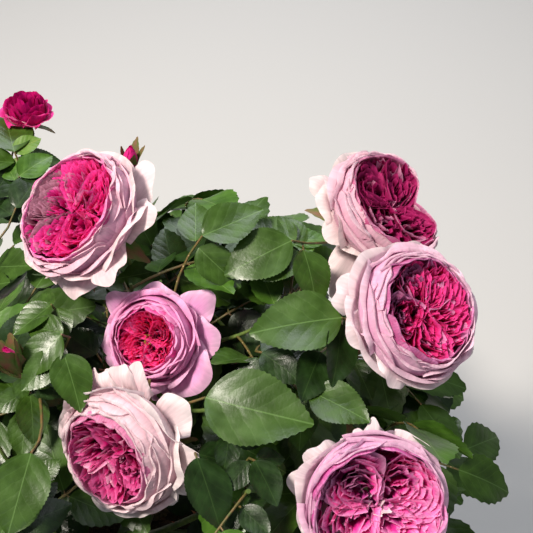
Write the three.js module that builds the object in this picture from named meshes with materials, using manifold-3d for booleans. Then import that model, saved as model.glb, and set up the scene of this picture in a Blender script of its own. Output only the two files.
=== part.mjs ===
// A potted rose bush, in millimetres, +Z up, with its origin at the centre of the pot's flat underside.
// Canes rise from one graft union, spread like a vase and end where they enter their own mass of shoots.
// Shoots run to tips spread over a domed crown. Each tip carries a full rosette bloom, a bud or leaves.
import * as THREE from "three";
import { mergeVertices } from "three/addons/utils/BufferGeometryUtils.js";
import Module from "manifold-3d";

const wasm = await Module();
wasm.setup();
const { Manifold, Mesh: SolidMesh } = wasm;

const GOLDEN_TURN = THREE.MathUtils.degToRad(137.508);
const FULL_TURN = 2 * Math.PI;
const UP = new THREE.Vector3(0, 0, 1);
const GAP = 0.3; // between solids that stand against each other
const WELD = 0.001; // points closer than this are one point
const FINEST = 0.0001;
const SLIVERS = [0.03, 0.05, 0.08, 0.12, 0.2]; // slivers thinner than this are closed up, in turn

// Pot of dark blue plastic, its drain holes and the compost in it
const POT_HEIGHT = 260;
const POT_RIM_RADIUS = 140;
const POT_BASE_RADIUS = 104;
const POT_WALL = 3.5;
const POT_FLOOR = 4;
const POT_RIM_DROP = 26;
const POT_RIM_FLARE = 6;
const POT_SIDES = 24;
const DRAIN_HOLES = 6;
const DRAIN_RADIUS = 7;
const DRAIN_RING = 66;
const COMPOST_BELOW_RIM = 24;
const COMPOST_DOME = 5;

// Graft union, the short woody foot that every cane springs from
const UNION_RADIUS = 15;
const UNION_FLARE = 6;
const UNION_HEIGHT = 46;

// Canes: one upright and a ring that leans out
const RING_CANES = 7;
const CANE_FOOT_RADIUS = 6.2;
const CANE_TIP_RADIUS = 4.2;
const CANE_SIDES = 6;
const CANE_STEPS = 6;
const CANE_SHARE = 0.62; // of the way from the union to the hub where the shoots part
const CANE_BOW = 22;
const HUB_RING_RADIUS = 108;
const HUB_RING_HEIGHT = 412;
const HUB_TOP_HEIGHT = 468;
const HUB_HEIGHT_WAVE = 20;
const HUB_LEAN = [18, -8]; // of the whole crown, to its right and its front

// Crown that the shoot tips reach, a broad dome, lower at the back
const CROWN_CENTRE = new THREE.Vector3(26, -12, 425);
const CROWN_RADIUS = 216;
const CROWN_RISE = 188;
const CROWN_FALL = 132;
const CROWN_SQUARENESS = 0.72;
const CROWN_BACK_DROP = 0.28; // mm lower for each mm towards the back
const CROWN_LOWEST_SINE = -0.62;
const LEAFY_TIPS = 36;
const TIP_CLEARANCE = 62; // from a bloom's or bud's own shoot

// Shoots
const SHOOT_FOOT_RADIUS = 3.4;
const SHOOT_TIP_RADIUS = 1.8;
const SHOOT_SIDES = 3;
const SHOOT_STEPS = 5;
const SHOOT_STEP = 6; // from one shoot's foot to the next, down the stem

// Compound leaves: a stalk that ends in three leaflets
const INTERNODE = 36;
const LEAF_SPREAD = THREE.MathUtils.degToRad(60);
const LEAFY_SHARE = 0.78; // of a shoot, from its tip down
const BARE_NECK = 46; // under a bloom
const STALK_LENGTH = 46;
const STALK_RADIUS = 1.4;
const END_LEAFLET = 68;
const SIDE_LEAFLET = 54;
const SIDE_TURN = THREE.MathUtils.degToRad(82);
const LEAFLET_WIDTH = 0.64; // of its length
const LEAFLET_BELLY = 0.45; // where it is widest, from its foot
const LEAFLET_FOLD = 0.07; // its edges stand this much above its midrib
const LEAFLET_DROOP = 0.1; // its tip hangs this much
const LEAF_THICKNESS = 2.6;
const LEAF_NOTCH = 9; // from the leaf's centre to the notch between two leaflets
const SPACE_OVERLAP = 30; // how far a leaf may lean over into the next mass's space
const LEAF_CLEARANCE = 1.03; // a leaf grown by this much touches no other node

// Bloom: a lobed cup of guard petals round a domed rosette. Each ring is [radius, height, lobe depth,
// lift of the lobes, turn of the lobes], the sizes as shares of the bloom's diameter.
const BLOOM_LOBES = 5;
const BLOOM_SEGMENTS = 15;
const BLOOM_RINGS = [
  [0.04, 0.0, 0, 0, 0],
  [0.09, 0.04, 0, 0, 0],
  [0.29, 0.115, 0.02, 0, 0],
  [0.465, 0.2, 0.04, 0.02, 0],
  [0.47, 0.24, 0.04, 0.02, 0],
  [0.385, 0.27, 0.03, 0.015, 0.5],
  [0.395, 0.37, 0.03, 0.02, 0.5],
  [0.33, 0.425, 0.025, 0.012, 0.5],
  [0.17, 0.4, 0.012, 0.01, 0],
];
const BLOOM_HEART = 0.375; // height of its middle, in diameters
const BLOOM_STALK = 0.27; // from the bloom's middle down to its stalk, in diameters
const BLOOM_KEEP_OUT = 0.54; // leaves stay this many diameters from the line that a bloom looks along,
const BLOOM_CLEAR_AHEAD = 1.1; // as far as this many diameters ahead of it

// Each bloom: its middle, the way it faces, its diameter
const BLOOMS = {
  bloom_upper_left: { middle: [-7, 29, 640], faces: [-0.49, -0.22, 0.84], across: 93 },
  bloom_mid_left: { middle: [43, -41, 588], faces: [-0.23, -0.63, 0.75], across: 78 },
  bloom_lower_left: { middle: [26, -109, 567], faces: [-0.47, -0.75, 0.46], across: 94 },
  bloom_upper_right: { middle: [207, 59, 614], faces: [0.51, -0.14, 0.85], across: 96 },
  bloom_right: { middle: [217, -40, 622], faces: [0.46, -0.36, 0.81], across: 92 },
  bloom_lower_right: { middle: [185, -144, 571], faces: [0.12, -0.73, 0.68], across: 88 },
  bloom_far_left: { middle: [-176, -62, 540], faces: [-0.62, -0.3, 0.72], across: 92 },
  bloom_front_low: { middle: [-28, -214, 462], faces: [-0.2, -0.82, 0.54], across: 92 },
  bloom_back: { middle: [232, 112, 424], faces: [0.74, 0.52, 0.42], across: 90 },
  bloom_back_left: { middle: [-186, 112, 474], faces: [-0.72, 0.36, 0.6], across: 88 },
  bloom_small: { middle: [-79, 178, 606], faces: [0.07, 0.08, 0.99], across: 42 },
};

// Each bud: its tip, the way it points, its width
const BUDS = [
  { tip: [22, 92, 646], points: [0.16, 0.12, 0.98], width: 14 },
  { tip: [-44, -62, 616], points: [-0.22, 0.1, 0.96], width: 17 },
  { tip: [-118, -150, 560], points: [-0.3, -0.4, 0.87], width: 16 },
  { tip: [88, -200, 540], points: [0.1, -0.5, 0.86], width: 16 },
  { tip: [-140, 48, 590], points: [-0.3, 0.2, 0.93], width: 17 },
];
const BUD_LENGTH = 1.8; // in widths
const BUD_SIDES = 6;
const BUD_PROFILE = [
  [0.12, 0.08],
  [0.42, 0.26],
  [0.5, 0.45],
  [0.3, 0.78],
];

const COLOURS = {
  pot: "#1f3a5c",
  compost: "#3a2a20",
  wood: "#6e5a3c",
  cane: "#4d6b2f",
  foliage: "#3f6b2b",
  petal: "#e3a3c4",
  crimson: "#b3105e",
};

const at = (list) => new THREE.Vector3(...list);
const mix = THREE.MathUtils.lerp;

// The same numbers for the same seed, from 0 up to 1
function makeDice(seed) {
  let state = seed >>> 0;
  const roll = () => {
    state = (Math.imul(state, 1664525) + 1013904223) >>> 0;
    return state / 4294967296;
  };
  roll();
  roll();
  return roll;
}

function solidFrom(positions, triangles) {
  return new Manifold(
    new SolidMesh({
      numProp: 3,
      vertProperties: new Float32Array(positions),
      triVerts: new Uint32Array(triangles),
    }),
  );
}

function solidOf(geometry) {
  const bare = geometry.clone();
  bare.deleteAttribute("normal");
  bare.deleteAttribute("uv");
  const merged = mergeVertices(bare, WELD);
  return solidFrom(merged.attributes.position.array, merged.index.array);
}

function geometryOf(solid) {
  const { numProp, numVert, vertProperties, triVerts } = solid.getMesh();
  const positions = new Float32Array(numVert * 3);
  for (let i = 0; i < numVert; i += 1) {
    positions.set(vertProperties.subarray(i * numProp, i * numProp + 3), i * 3);
  }
  const geometry = new THREE.BufferGeometry();
  geometry.setAttribute("position", new THREE.BufferAttribute(positions, 3));
  geometry.setIndex(new THREE.BufferAttribute(new Uint32Array(triVerts), 1));
  const faceted = geometry.toNonIndexed();
  faceted.computeVertexNormals();
  return faceted;
}

// True where every edge of the skin joins exactly two faces
function isClean(solid) {
  const { position } = geometryOf(solid).attributes;
  const keyAt = (i) =>
    Array.from(position.array.slice(i * 3, i * 3 + 3), (v) => Math.round(v / FINEST)).join();
  const uses = new Map();
  for (let i = 0; i < position.count; i += 3) {
    const keys = [keyAt(i), keyAt(i + 1), keyAt(i + 2)];
    keys.forEach((key, corner) => {
      const edge = [key, keys[(corner + 1) % 3]].sort().join("/");
      uses.set(edge, (uses.get(edge) ?? 0) + 1);
    });
  }
  return [...uses.values()].every((count) => count === 2);
}

// The solid's one main body, without scraps, slivers and sealed hollows
function mainBody(solid) {
  for (const sliver of SLIVERS) {
    const welded = solidOf(geometryOf(solid.simplify(sliver)));
    const bodies = welded.decompose();
    const body = bodies.reduce((best, next) => (next.volume() > best.volume() ? next : best));
    if (isClean(body)) return body;
  }
  throw new Error("a skin doesn't close cleanly");
}

// Rings of points joined into a closed skin, the first and last ring capped by a point each
function skin(rings, firstCap, lastCap) {
  const sides = rings[0].length;
  const positions = [];
  rings.flat().forEach((p) => positions.push(p.x, p.y, p.z));
  const first = rings.length * sides;
  [firstCap, lastCap].forEach((p) => positions.push(p.x, p.y, p.z));
  const triangles = [];
  for (let side = 0; side < sides; side += 1) {
    const next = (side + 1) % sides;
    for (let ring = 0; ring + 1 < rings.length; ring += 1) {
      const low = ring * sides;
      const high = low + sides;
      triangles.push(low + side, low + next, high + next);
      triangles.push(low + side, high + next, high + side);
    }
    const top = (rings.length - 1) * sides;
    triangles.push(first, next, side);
    triangles.push(first + 1, top + side, top + next);
  }
  return solidFrom(positions, triangles);
}

// Two directions square to a line, the first as near as can be to a given one
function sideways(along, near) {
  const first = near.clone().addScaledVector(along, -near.dot(along)).normalize();
  return [first, along.clone().cross(first)];
}

function anySideways(along) {
  const near = Math.abs(along.z) < 0.9 ? UP : new THREE.Vector3(1, 0, 0);
  return sideways(along, near);
}

function ringOf(centre, [first, second], radius, sides) {
  return Array.from({ length: sides }, (_, side) => {
    const turn = (side / sides) * FULL_TURN;
    return centre
      .clone()
      .addScaledVector(first, radius * Math.cos(turn))
      .addScaledVector(second, radius * Math.sin(turn));
  });
}

// One tapering limb along a curve
function limb(curve, steps, sides, footRadius, tipRadius) {
  let near = anySideways(curve.getTangent(0))[0];
  const rings = [];
  for (let step = 0; step <= steps; step += 1) {
    const share = step / steps;
    const frame = sideways(curve.getTangent(share), near);
    [near] = frame;
    rings.push(ringOf(curve.getPoint(share), frame, mix(footRadius, tipRadius, share), sides));
  }
  return skin(rings, curve.getPoint(0), curve.getPoint(1));
}

// Edge of a compound leaf in its own plane: notch, then each leaflet's near side, tip and far side
function leafEdge(size) {
  const centre = STALK_LENGTH * size;
  const edge = [];
  const put = (turn, reach, aside, lift) => {
    const x = centre + reach * Math.cos(turn) - aside * Math.sin(turn);
    const y = reach * Math.sin(turn) + aside * Math.cos(turn);
    edge.push([x, y, lift]);
  };
  const turns = [-SIDE_TURN, 0, SIDE_TURN];
  put(-Math.PI, LEAF_NOTCH * size, 1.8, 0);
  turns.forEach((turn, index) => {
    const length = (index === 1 ? END_LEAFLET : SIDE_LEAFLET) * size;
    const half = (length * LEAFLET_WIDTH) / 2;
    if (index > 0) put(turn - SIDE_TURN / 2, LEAF_NOTCH * size, 0, 0);
    put(turn, length * LEAFLET_BELLY, -half, length * LEAFLET_FOLD);
    put(turn, length, 0, -length * LEAFLET_DROOP);
    put(turn, length * LEAFLET_BELLY, half, length * LEAFLET_FOLD);
  });
  put(Math.PI, LEAF_NOTCH * size, -1.8, 0);
  return edge;
}

// A compound leaf as one solid: three leaflets round a thick centre, and a three-sided stalk to its foot
function compoundLeaf({ foot, along, normal, size }) {
  const across = normal.clone().cross(along);
  const place = ([x, y, z]) =>
    foot
      .clone()
      .addScaledVector(along, x)
      .addScaledVector(across, y)
      .addScaledVector(normal, z);
  const edge = leafEdge(size);
  const centre = STALK_LENGTH * size;
  const points = [
    ...edge,
    [centre, 0, LEAF_THICKNESS / 2],
    [centre, 0, -LEAF_THICKNESS / 2],
    [-1, 0, STALK_RADIUS],
    [-1, -STALK_RADIUS, -STALK_RADIUS / 2],
    [-1, STALK_RADIUS, -STALK_RADIUS / 2],
  ].map(place);
  const last = edge.length - 1;
  const [top, bottom, footTop, footRight, footLeft] = [1, 2, 3, 4, 5].map((n) => last + n);
  const triangles = [];
  for (let i = 0; i < last; i += 1) triangles.push(top, i, i + 1, bottom, i + 1, i);
  triangles.push(top, last, footTop, top, footTop, 0);
  triangles.push(0, footTop, footRight, bottom, 0, footRight);
  triangles.push(bottom, footRight, footLeft, bottom, footLeft, last);
  triangles.push(last, footLeft, footTop, footTop, footLeft, footRight);
  return solidFrom(
    points.flatMap((p) => [p.x, p.y, p.z]),
    triangles,
  );
}

// Bloom that looks along one direction, with its stalk's end at its base
function bloomSolid({ base, faces, across }) {
  const turned = new THREE.Quaternion().setFromUnitVectors(UP, faces);
  const place = (radius, height, angle) =>
    new THREE.Vector3(radius * Math.cos(angle), radius * Math.sin(angle), height)
      .multiplyScalar(across)
      .applyQuaternion(turned)
      .add(base);
  const rings = BLOOM_RINGS.map(([radius, height, depth, lift, phase]) =>
    Array.from({ length: BLOOM_SEGMENTS }, (_, segment) => {
      const angle = (segment / BLOOM_SEGMENTS) * FULL_TURN;
      const wave = Math.cos(BLOOM_LOBES * angle + phase * FULL_TURN);
      return place(radius + depth * wave, height + lift * wave, angle);
    }),
  );
  return skin(rings, place(0, 0, 0), place(0, BLOOM_HEART, 0));
}

// A bud on its tip: a spindle that swells near its foot
function budSolid({ tip, points, width }) {
  const frame = anySideways(points);
  const along = (share) => tip.clone().addScaledVector(points, (share - 1) * width * BUD_LENGTH);
  const rings = BUD_PROFILE.map(([radius, share]) =>
    ringOf(along(share), frame, radius * width, BUD_SIDES),
  );
  return skin(rings, along(0), along(1));
}

function crownPoint(sine, turn) {
  const radius = CROWN_RADIUS * Math.sqrt(1 - sine * sine) ** CROWN_SQUARENESS;
  const height = Math.abs(sine) ** CROWN_SQUARENESS * (sine > 0 ? CROWN_RISE : -CROWN_FALL);
  const point = new THREE.Vector3(radius * Math.cos(turn), radius * Math.sin(turn), height);
  if (sine > 0) point.z -= CROWN_BACK_DROP * Math.max(point.y, 0);
  return point.add(CROWN_CENTRE);
}

// Hubs, where a cane's shoots part: one over the union and a ring round it
function makeHubs() {
  const foot = new THREE.Vector3(0, 0, POT_HEIGHT - COMPOST_BELOW_RIM + UNION_HEIGHT * 0.5);
  const [right, front] = HUB_LEAN;
  const places = [new THREE.Vector3(right, front, HUB_TOP_HEIGHT)];
  for (let i = 0; i < RING_CANES; i += 1) {
    const turn = ((i + 0.2) / RING_CANES) * FULL_TURN;
    const x = HUB_RING_RADIUS * Math.cos(turn) + right;
    const y = HUB_RING_RADIUS * Math.sin(turn) + front;
    places.push(new THREE.Vector3(x, y, HUB_RING_HEIGHT + HUB_HEIGHT_WAVE * Math.sin(turn * 3 + 1)));
  }
  return places.map((place) => {
    const aside = place.clone().sub(foot).setZ(0);
    const start = foot.clone().addScaledVector(aside, 0.06);
    const knee = start.clone().lerp(place, 0.45).addScaledVector(UP, CANE_BOW);
    return { place, curve: new THREE.QuadraticBezierCurve3(start, knee, place) };
  });
}

// Everything that a shoot can end in
function makeTips() {
  const tips = Object.entries(BLOOMS).map(([name, bloom]) => {
    const faces = at(bloom.faces).normalize();
    const base = at(bloom.middle).addScaledVector(faces, -BLOOM_STALK * bloom.across);
    const place = base.clone().addScaledVector(faces, -GAP);
    return { kind: "bloom", name, place, direction: faces, base, faces, across: bloom.across };
  });
  BUDS.forEach((bud) => {
    const points = at(bud.points).normalize();
    const tip = at(bud.tip);
    const place = tip.clone().addScaledVector(points, -bud.width * BUD_LENGTH * 0.9);
    tips.push({ kind: "bud", place, direction: points, bud: { tip, points, width: bud.width } });
  });
  const taken = tips.map((tip) => tip.place);
  for (let i = 0; i < LEAFY_TIPS; i += 1) {
    const sine = mix(CROWN_LOWEST_SINE, 0.98, (i + 0.5) / LEAFY_TIPS);
    const place = crownPoint(sine, i * GOLDEN_TURN);
    if (taken.every((other) => other.distanceTo(place) > TIP_CLEARANCE)) {
      const out = place.clone().sub(CROWN_CENTRE).normalize();
      tips.push({ kind: "leaves", place, direction: out.add(UP).normalize() });
    }
  }
  return tips;
}

function nearestHub(hubs, place) {
  const distances = hubs.map((hub) => hub.place.distanceTo(place));
  return distances.indexOf(Math.min(...distances));
}

// A shoot's line: it leaves the stem a little below the shoot before it, and ends the way its tip points
function shootCurve(hub, order, tip) {
  const share = 1 - ((order + 0.4) * SHOOT_STEP) / hub.curve.getLength();
  const foot = hub.curve.getPointAt(share);
  const reach = foot.distanceTo(tip.place);
  const start = foot.clone().addScaledVector(hub.curve.getTangentAt(share), reach * 0.26);
  const end = tip.place.clone().addScaledVector(tip.direction, -reach * 0.38);
  return new THREE.CubicBezierCurve3(foot, start, end, tip.place.clone());
}

// Feet and directions of the leaves on one shoot, from its tip down
function leavesOn(curve, tip, number) {
  const dice = makeDice(101 + number * 7919);
  const length = curve.getLength();
  const lowest = length * (1 - LEAFY_SHARE);
  const leaves = [];
  const firstTurn = dice() * FULL_TURN;
  let height = length - (tip.kind === "leaves" ? 4 : BARE_NECK);
  for (let count = 0; height > lowest; count += 1) {
    const share = height / length;
    const foot = curve.getPointAt(share);
    const tangent = curve.getTangentAt(share);
    const [first, second] = anySideways(tangent);
    const turn = firstTurn + count * GOLDEN_TURN;
    const side = first.multiplyScalar(Math.cos(turn)).addScaledVector(second, Math.sin(turn));
    const out = foot.clone().sub(CROWN_CENTRE).setZ(0).normalize();
    const along = tangent
      .clone()
      .multiplyScalar(Math.cos(LEAF_SPREAD))
      .addScaledVector(side, Math.sin(LEAF_SPREAD))
      .addScaledVector(out, 0.35);
    along.z = along.z * 0.5 + (dice() - 0.5) * 0.3;
    along.normalize();
    const lean = new THREE.Vector3(dice() - 0.5, dice() - 0.5, 0).multiplyScalar(0.7);
    const normal = UP.clone().addScaledVector(out, 0.35).add(lean);
    normal.addScaledVector(along, -normal.dot(along)).normalize();
    const size = 0.8 + 0.34 * dice();
    leaves.push({ foot, along, normal, size });
    height -= INTERNODE * (0.8 + 0.4 * dice());
  }
  return leaves;
}

// True where a leaf would stand before a bloom's face
function hidesBloom(leaf, blooms) {
  return [0.4, 0.8, 1.2, 1.7].some((share) => {
    const point = leaf.foot.clone().addScaledVector(leaf.along, STALK_LENGTH * leaf.size * share);
    return blooms.some(({ base, faces, across }) => {
      const offset = point.clone().sub(base).addScaledVector(faces, -across * 0.1);
      const ahead = offset.dot(faces);
      const beside = offset.addScaledVector(faces, -ahead).length();
      return ahead > 0 && ahead < across * BLOOM_CLEAR_AHEAD && beside < across * BLOOM_KEEP_OUT;
    });
  });
}

function boxesMeet(a, b) {
  return [0, 1, 2].every((axis) => a.min[axis] <= b.max[axis] && b.min[axis] <= a.max[axis]);
}

function grown(solid, factor) {
  const { min, max } = solid.boundingBox();
  const middle = min.map((low, axis) => (low + max[axis]) / 2);
  const back = middle.map((value) => -value);
  return solid.translate(back).scale(factor).translate(middle);
}

// Every solid that a new one has to miss, with the node that owns it
class Neighbours {
  kept = [];

  add(owner, solid) {
    this.kept.push({ owner, solid, box: solid.boundingBox() });
  }

  clearOf(owner, solid) {
    const box = solid.boundingBox();
    return this.kept.every(
      (other) =>
        other.owner === owner ||
        !boxesMeet(box, other.box) ||
        other.solid.intersect(solid).isEmpty(),
    );
  }
}

// The rest of a cane inside its mass, from just past the cane's end up to the hub
function stemSolid({ curve, place }) {
  const foot = curve.getPointAt(CANE_SHARE).addScaledVector(curve.getTangentAt(CANE_SHARE), GAP);
  const middle = curve.getPointAt((1 + CANE_SHARE) / 2);
  const path = new THREE.CatmullRomCurve3([foot, middle, place]);
  return limb(path, 3, 5, CANE_TIP_RADIUS, SHOOT_FOOT_RADIUS);
}

// The foliage masses: shoots first, then leaves in turn, each kept clear of every other node
function makeMasses(hubs, tips, neighbours) {
  const blooms = tips.filter((tip) => tip.kind === "bloom");
  const masses = hubs.map((hub, index) => {
    const mass = { name: `foliage_${index + 1}`, parts: [stemSolid(hub)], leaves: [] };
    neighbours.add(mass.name, mass.parts[0]);
    return mass;
  });
  tips.forEach((tip, number) => {
    const owner = nearestHub(hubs, tip.place);
    const mass = masses[owner];
    const curve = shootCurve(hubs[owner], mass.parts.length - 1, tip);
    let shoot = limb(curve, SHOOT_STEPS, SHOOT_SIDES, SHOOT_FOOT_RADIUS, SHOOT_TIP_RADIUS);
    if (tip.kind === "bud") shoot = shoot.add(budSolid(tip.bud));
    if (!neighbours.clearOf(mass.name, shoot)) {
      if (tip.kind !== "leaves") throw new Error(`the shoot of tip ${number} is not clear`);
      return;
    }
    neighbours.add(mass.name, shoot);
    mass.parts.push(shoot);
    mass.leaves.push(...leavesOn(curve, tip, number));
  });
  return masses.map((mass, index) => {
    mass.leaves.forEach((leaf) => {
      if (hidesBloom(leaf, blooms)) return;
      const end = leaf.foot.clone().addScaledVector(leaf.along, STALK_LENGTH * leaf.size);
      const own = hubs[index].place.distanceTo(end);
      if (hubs.some((hub) => hub.place.distanceTo(end) < own - SPACE_OVERLAP)) return;
      const solid = compoundLeaf(leaf);
      if (!neighbours.clearOf(mass.name, grown(solid, LEAF_CLEARANCE))) return;
      neighbours.add(mass.name, solid);
      mass.parts.push(solid);
    });
    return { name: mass.name, solid: mainBody(Manifold.union(mass.parts)) };
  });
}

const wallSlope = (POT_RIM_RADIUS - POT_RIM_FLARE - POT_BASE_RADIUS) / POT_HEIGHT;
const wallOutside = (height) => POT_BASE_RADIUS + wallSlope * height;
const compostTop = POT_HEIGHT - COMPOST_BELOW_RIM;

function turned(profile, sides) {
  const outline = profile.map(([x, y]) => new THREE.Vector2(x, y));
  return solidOf(new THREE.LatheGeometry(outline, sides).rotateX(Math.PI / 2));
}

function potSolid() {
  const rimFoot = POT_HEIGHT - POT_RIM_DROP;
  let solid = turned(
    [
      [0, 0],
      [POT_BASE_RADIUS - 2, 0],
      [POT_BASE_RADIUS, 2],
      [wallOutside(rimFoot), rimFoot],
      [POT_RIM_RADIUS, rimFoot + 1.5],
      [POT_RIM_RADIUS, POT_HEIGHT - 1.5],
      [POT_RIM_RADIUS - 1.5, POT_HEIGHT],
      [wallOutside(POT_HEIGHT) - POT_WALL, POT_HEIGHT],
      [wallOutside(POT_FLOOR) - POT_WALL, POT_FLOOR],
      [0, POT_FLOOR],
    ],
    POT_SIDES,
  );
  for (let i = 0; i < DRAIN_HOLES; i += 1) {
    const turn = (i / DRAIN_HOLES) * FULL_TURN;
    const drill = new THREE.CylinderGeometry(DRAIN_RADIUS, DRAIN_RADIUS, POT_FLOOR * 4, 8);
    drill.rotateX(Math.PI / 2);
    drill.translate(DRAIN_RING * Math.cos(turn), DRAIN_RING * Math.sin(turn), 0);
    solid = solid.subtract(solidOf(drill));
  }
  return solid;
}

function compostSolid() {
  const inside = (height) => wallOutside(height) - POT_WALL - GAP;
  const foot = POT_FLOOR + GAP;
  return turned(
    [
      [0, foot],
      [inside(foot), foot],
      [inside(compostTop - COMPOST_DOME), compostTop - COMPOST_DOME],
      [inside(compostTop) * 0.6, compostTop - GAP],
      [0, compostTop - GAP],
    ],
    POT_SIDES,
  );
}

function unionSolid(extra) {
  const shape = [
    [0, 0],
    [UNION_RADIUS + UNION_FLARE, 0],
    [UNION_RADIUS, UNION_HEIGHT * 0.22],
    [UNION_RADIUS * 1.12, UNION_HEIGHT * 0.55],
    [UNION_RADIUS * 0.8, UNION_HEIGHT * 0.9],
    [0, UNION_HEIGHT],
  ];
  const profile = shape.map(([x, y]) => [
    x > 0 ? x + extra : 0,
    compostTop + (y > 0 ? y + extra : 0),
  ]);
  return turned(profile, 12);
}

function caneSolids(hubs) {
  const cutter = unionSolid(GAP);
  const made = [];
  hubs.forEach(({ curve }) => {
    const points = Array.from({ length: CANE_STEPS + 1 }, (_, step) =>
      curve.getPointAt((CANE_SHARE * step) / CANE_STEPS),
    );
    const path = new THREE.CatmullRomCurve3(points);
    const whole = limb(path, CANE_STEPS, CANE_SIDES, CANE_FOOT_RADIUS, CANE_TIP_RADIUS);
    const others = made.map((other) => grown(other, 1.006));
    made.push(mainBody(whole.subtract(cutter).subtract(Manifold.union(others))));
  });
  return made;
}

const bush = new THREE.Group();

function addNode(name, solid, colour, roughness) {
  const material = new THREE.MeshStandardMaterial({ color: colour, roughness, metalness: 0 });
  const mesh = new THREE.Mesh(geometryOf(solid), material);
  mesh.name = name;
  bush.add(mesh);
}

const hubs = makeHubs();
const tips = makeTips();
const neighbours = new Neighbours();
const fixed = [
  ["pot", potSolid(), COLOURS.pot, 0.5],
  ["compost", compostSolid(), COLOURS.compost, 0.95],
  ["graft_union", unionSolid(0), COLOURS.wood, 0.85],
];
caneSolids(hubs).forEach((solid, index) => {
  fixed.push([`cane_${index + 1}`, solid, COLOURS.cane, 0.6]);
});
tips
  .filter((tip) => tip.kind === "bloom")
  .forEach((tip) => {
    const colour = tip.name === "bloom_small" ? COLOURS.crimson : COLOURS.petal;
    fixed.push([tip.name, bloomSolid(tip), colour, 0.7]);
  });
fixed.forEach(([name, solid, colour, roughness]) => {
  neighbours.add(name, solid);
  addNode(name, solid, colour, roughness);
});
makeMasses(hubs, tips, neighbours).forEach(({ name, solid }) => {
  addNode(name, solid, COLOURS.foliage, 0.55);
});

export default bush;
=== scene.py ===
"""A rose bush in its pot: compost, graft union, canes, shoots, leaves, buds and full rosette blooms."""

import math
from collections import namedtuple

import bmesh
import bpy
import numpy as np
from bpy.props import FloatProperty, FloatVectorProperty, IntProperty, PointerProperty
from mathutils import Matrix, Vector


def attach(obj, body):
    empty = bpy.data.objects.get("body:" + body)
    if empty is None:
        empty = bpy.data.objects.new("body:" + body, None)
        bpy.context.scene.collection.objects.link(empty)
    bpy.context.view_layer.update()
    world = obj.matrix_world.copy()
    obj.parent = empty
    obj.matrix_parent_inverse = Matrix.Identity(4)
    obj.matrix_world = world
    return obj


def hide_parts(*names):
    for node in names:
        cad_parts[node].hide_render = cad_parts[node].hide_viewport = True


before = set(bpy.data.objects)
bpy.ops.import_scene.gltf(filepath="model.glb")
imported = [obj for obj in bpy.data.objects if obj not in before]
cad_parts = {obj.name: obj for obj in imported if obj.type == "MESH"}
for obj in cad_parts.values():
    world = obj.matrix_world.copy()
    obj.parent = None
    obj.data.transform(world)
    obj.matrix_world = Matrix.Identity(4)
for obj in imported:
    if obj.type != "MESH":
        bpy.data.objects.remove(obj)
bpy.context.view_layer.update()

bl_info = {
    "name": "Potted Rose Bush",
    "version": (1, 0, 0),
    "blender": (4, 5, 0),
    "location": "View3D > Sidebar > Rose Bush",
    "description": "Makes a potted rose bush with rosette blooms on its frame of canes and shoots",
    "category": "Add Mesh",
}

MM = 0.001
GOLDEN_TURN = math.radians(137.508)
FULL_TURN = 2 * math.pi
UP = np.array([0.0, 0.0, 1.0])
DICE_STEP, DICE_SHIFT, DICE_RANGE = 1664525, 1013904223, 2**32

# Seeds: of the first thing of each kind, and how far the next one's is from it
COMPOST_SEEDS = (77, 0)
PRICKLE_SEEDS = (515, 0)
SHOOT_SEEDS = (101, 7919)
TWIG_SEEDS = (7001, 467)
LEAF_SEEDS = (4001, 613)
PLACED_LEAF_SEEDS = (9001, 331)
BLOOM_SEEDS = (0, 977)
CALYX_SEEDS = (0, 61)
BUD_SEEDS = (0, 43)

# The frame's own sizes, in millimetres, as the solids have them
POT_HEIGHT = 260.0
POT_RIM_RADIUS = 140.0
POT_BASE_RADIUS = 104.0
POT_WALL = 3.5
POT_RIM_DROP = 26.0
POT_RIM_FLARE = 6.0
POT_FLOOR = 4.0
POT_GROOVES = (30.0, 206.0)
DRAIN_HOLES = 6
DRAIN_RADIUS = 7.0
DRAIN_RING = 66.0
COMPOST_TOP = POT_HEIGHT - 24.0
UNION_RADIUS = 15.0
UNION_HEIGHT = 46.0
RING_CANES = 7
CANE_NUMBERS = range(1, RING_CANES + 2)
CANE_FOOT_RADIUS = 6.2
CANE_TIP_RADIUS = 4.2
CANE_BOW = 22.0
CANE_START, CANE_KNEE = 0.06, 0.45  # shares of the way from the union to the hub
HUB_RING_RADIUS = 108.0
HUB_RING_HEIGHT = 412.0
HUB_TOP_HEIGHT = 468.0
HUB_HEIGHT_WAVE = 20.0
HUB_LEAN = (18.0, -8.0)
CROWN_CENTRE = np.array([26.0, -12.0, 425.0])
CROWN_RADIUS = 216.0
CROWN_RISE = 188.0
CROWN_FALL = 132.0
CROWN_SQUARENESS = 0.72
CROWN_BACK_DROP = 0.28
CROWN_LOWEST_SINE = -0.62
CROWN_HIGHEST_SINE = 0.98
LEAFY_TIPS = 36
TIP_CLEARANCE = 62.0
SHOOT_STEP = 6.0
SHOOT_FOOT_RADIUS = 3.2
SHOOT_TIP_RADIUS = 1.5
SHOOT_START_PULL, SHOOT_END_PULL = 0.26, 0.38
LEAF_SPREAD = math.radians(60)
LEAF_OUTWARD = 0.35
LEAFY_SHARE = 0.86
BARE_NECK = 40.0
BLOOM_STALK = 0.27
BUD_LENGTH = 1.8
BUD_SEAT = 0.95  # how far down a bud its shoot ends, as a share of its length

# Finer side twigs: where they leave a shoot, in shares of its length, and how long they are
TWIG_PLACES = (0.36, 0.54, 0.72)
TWIG_LENGTH = 78.0
TWIG_FOOT_RADIUS = 1.9
TWIG_TIP_RADIUS = 1.1
TWIG_WITHIN = 0.97  # the share of the crown that twigs stay in
TWIG_MARGIN = 5.0

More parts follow.
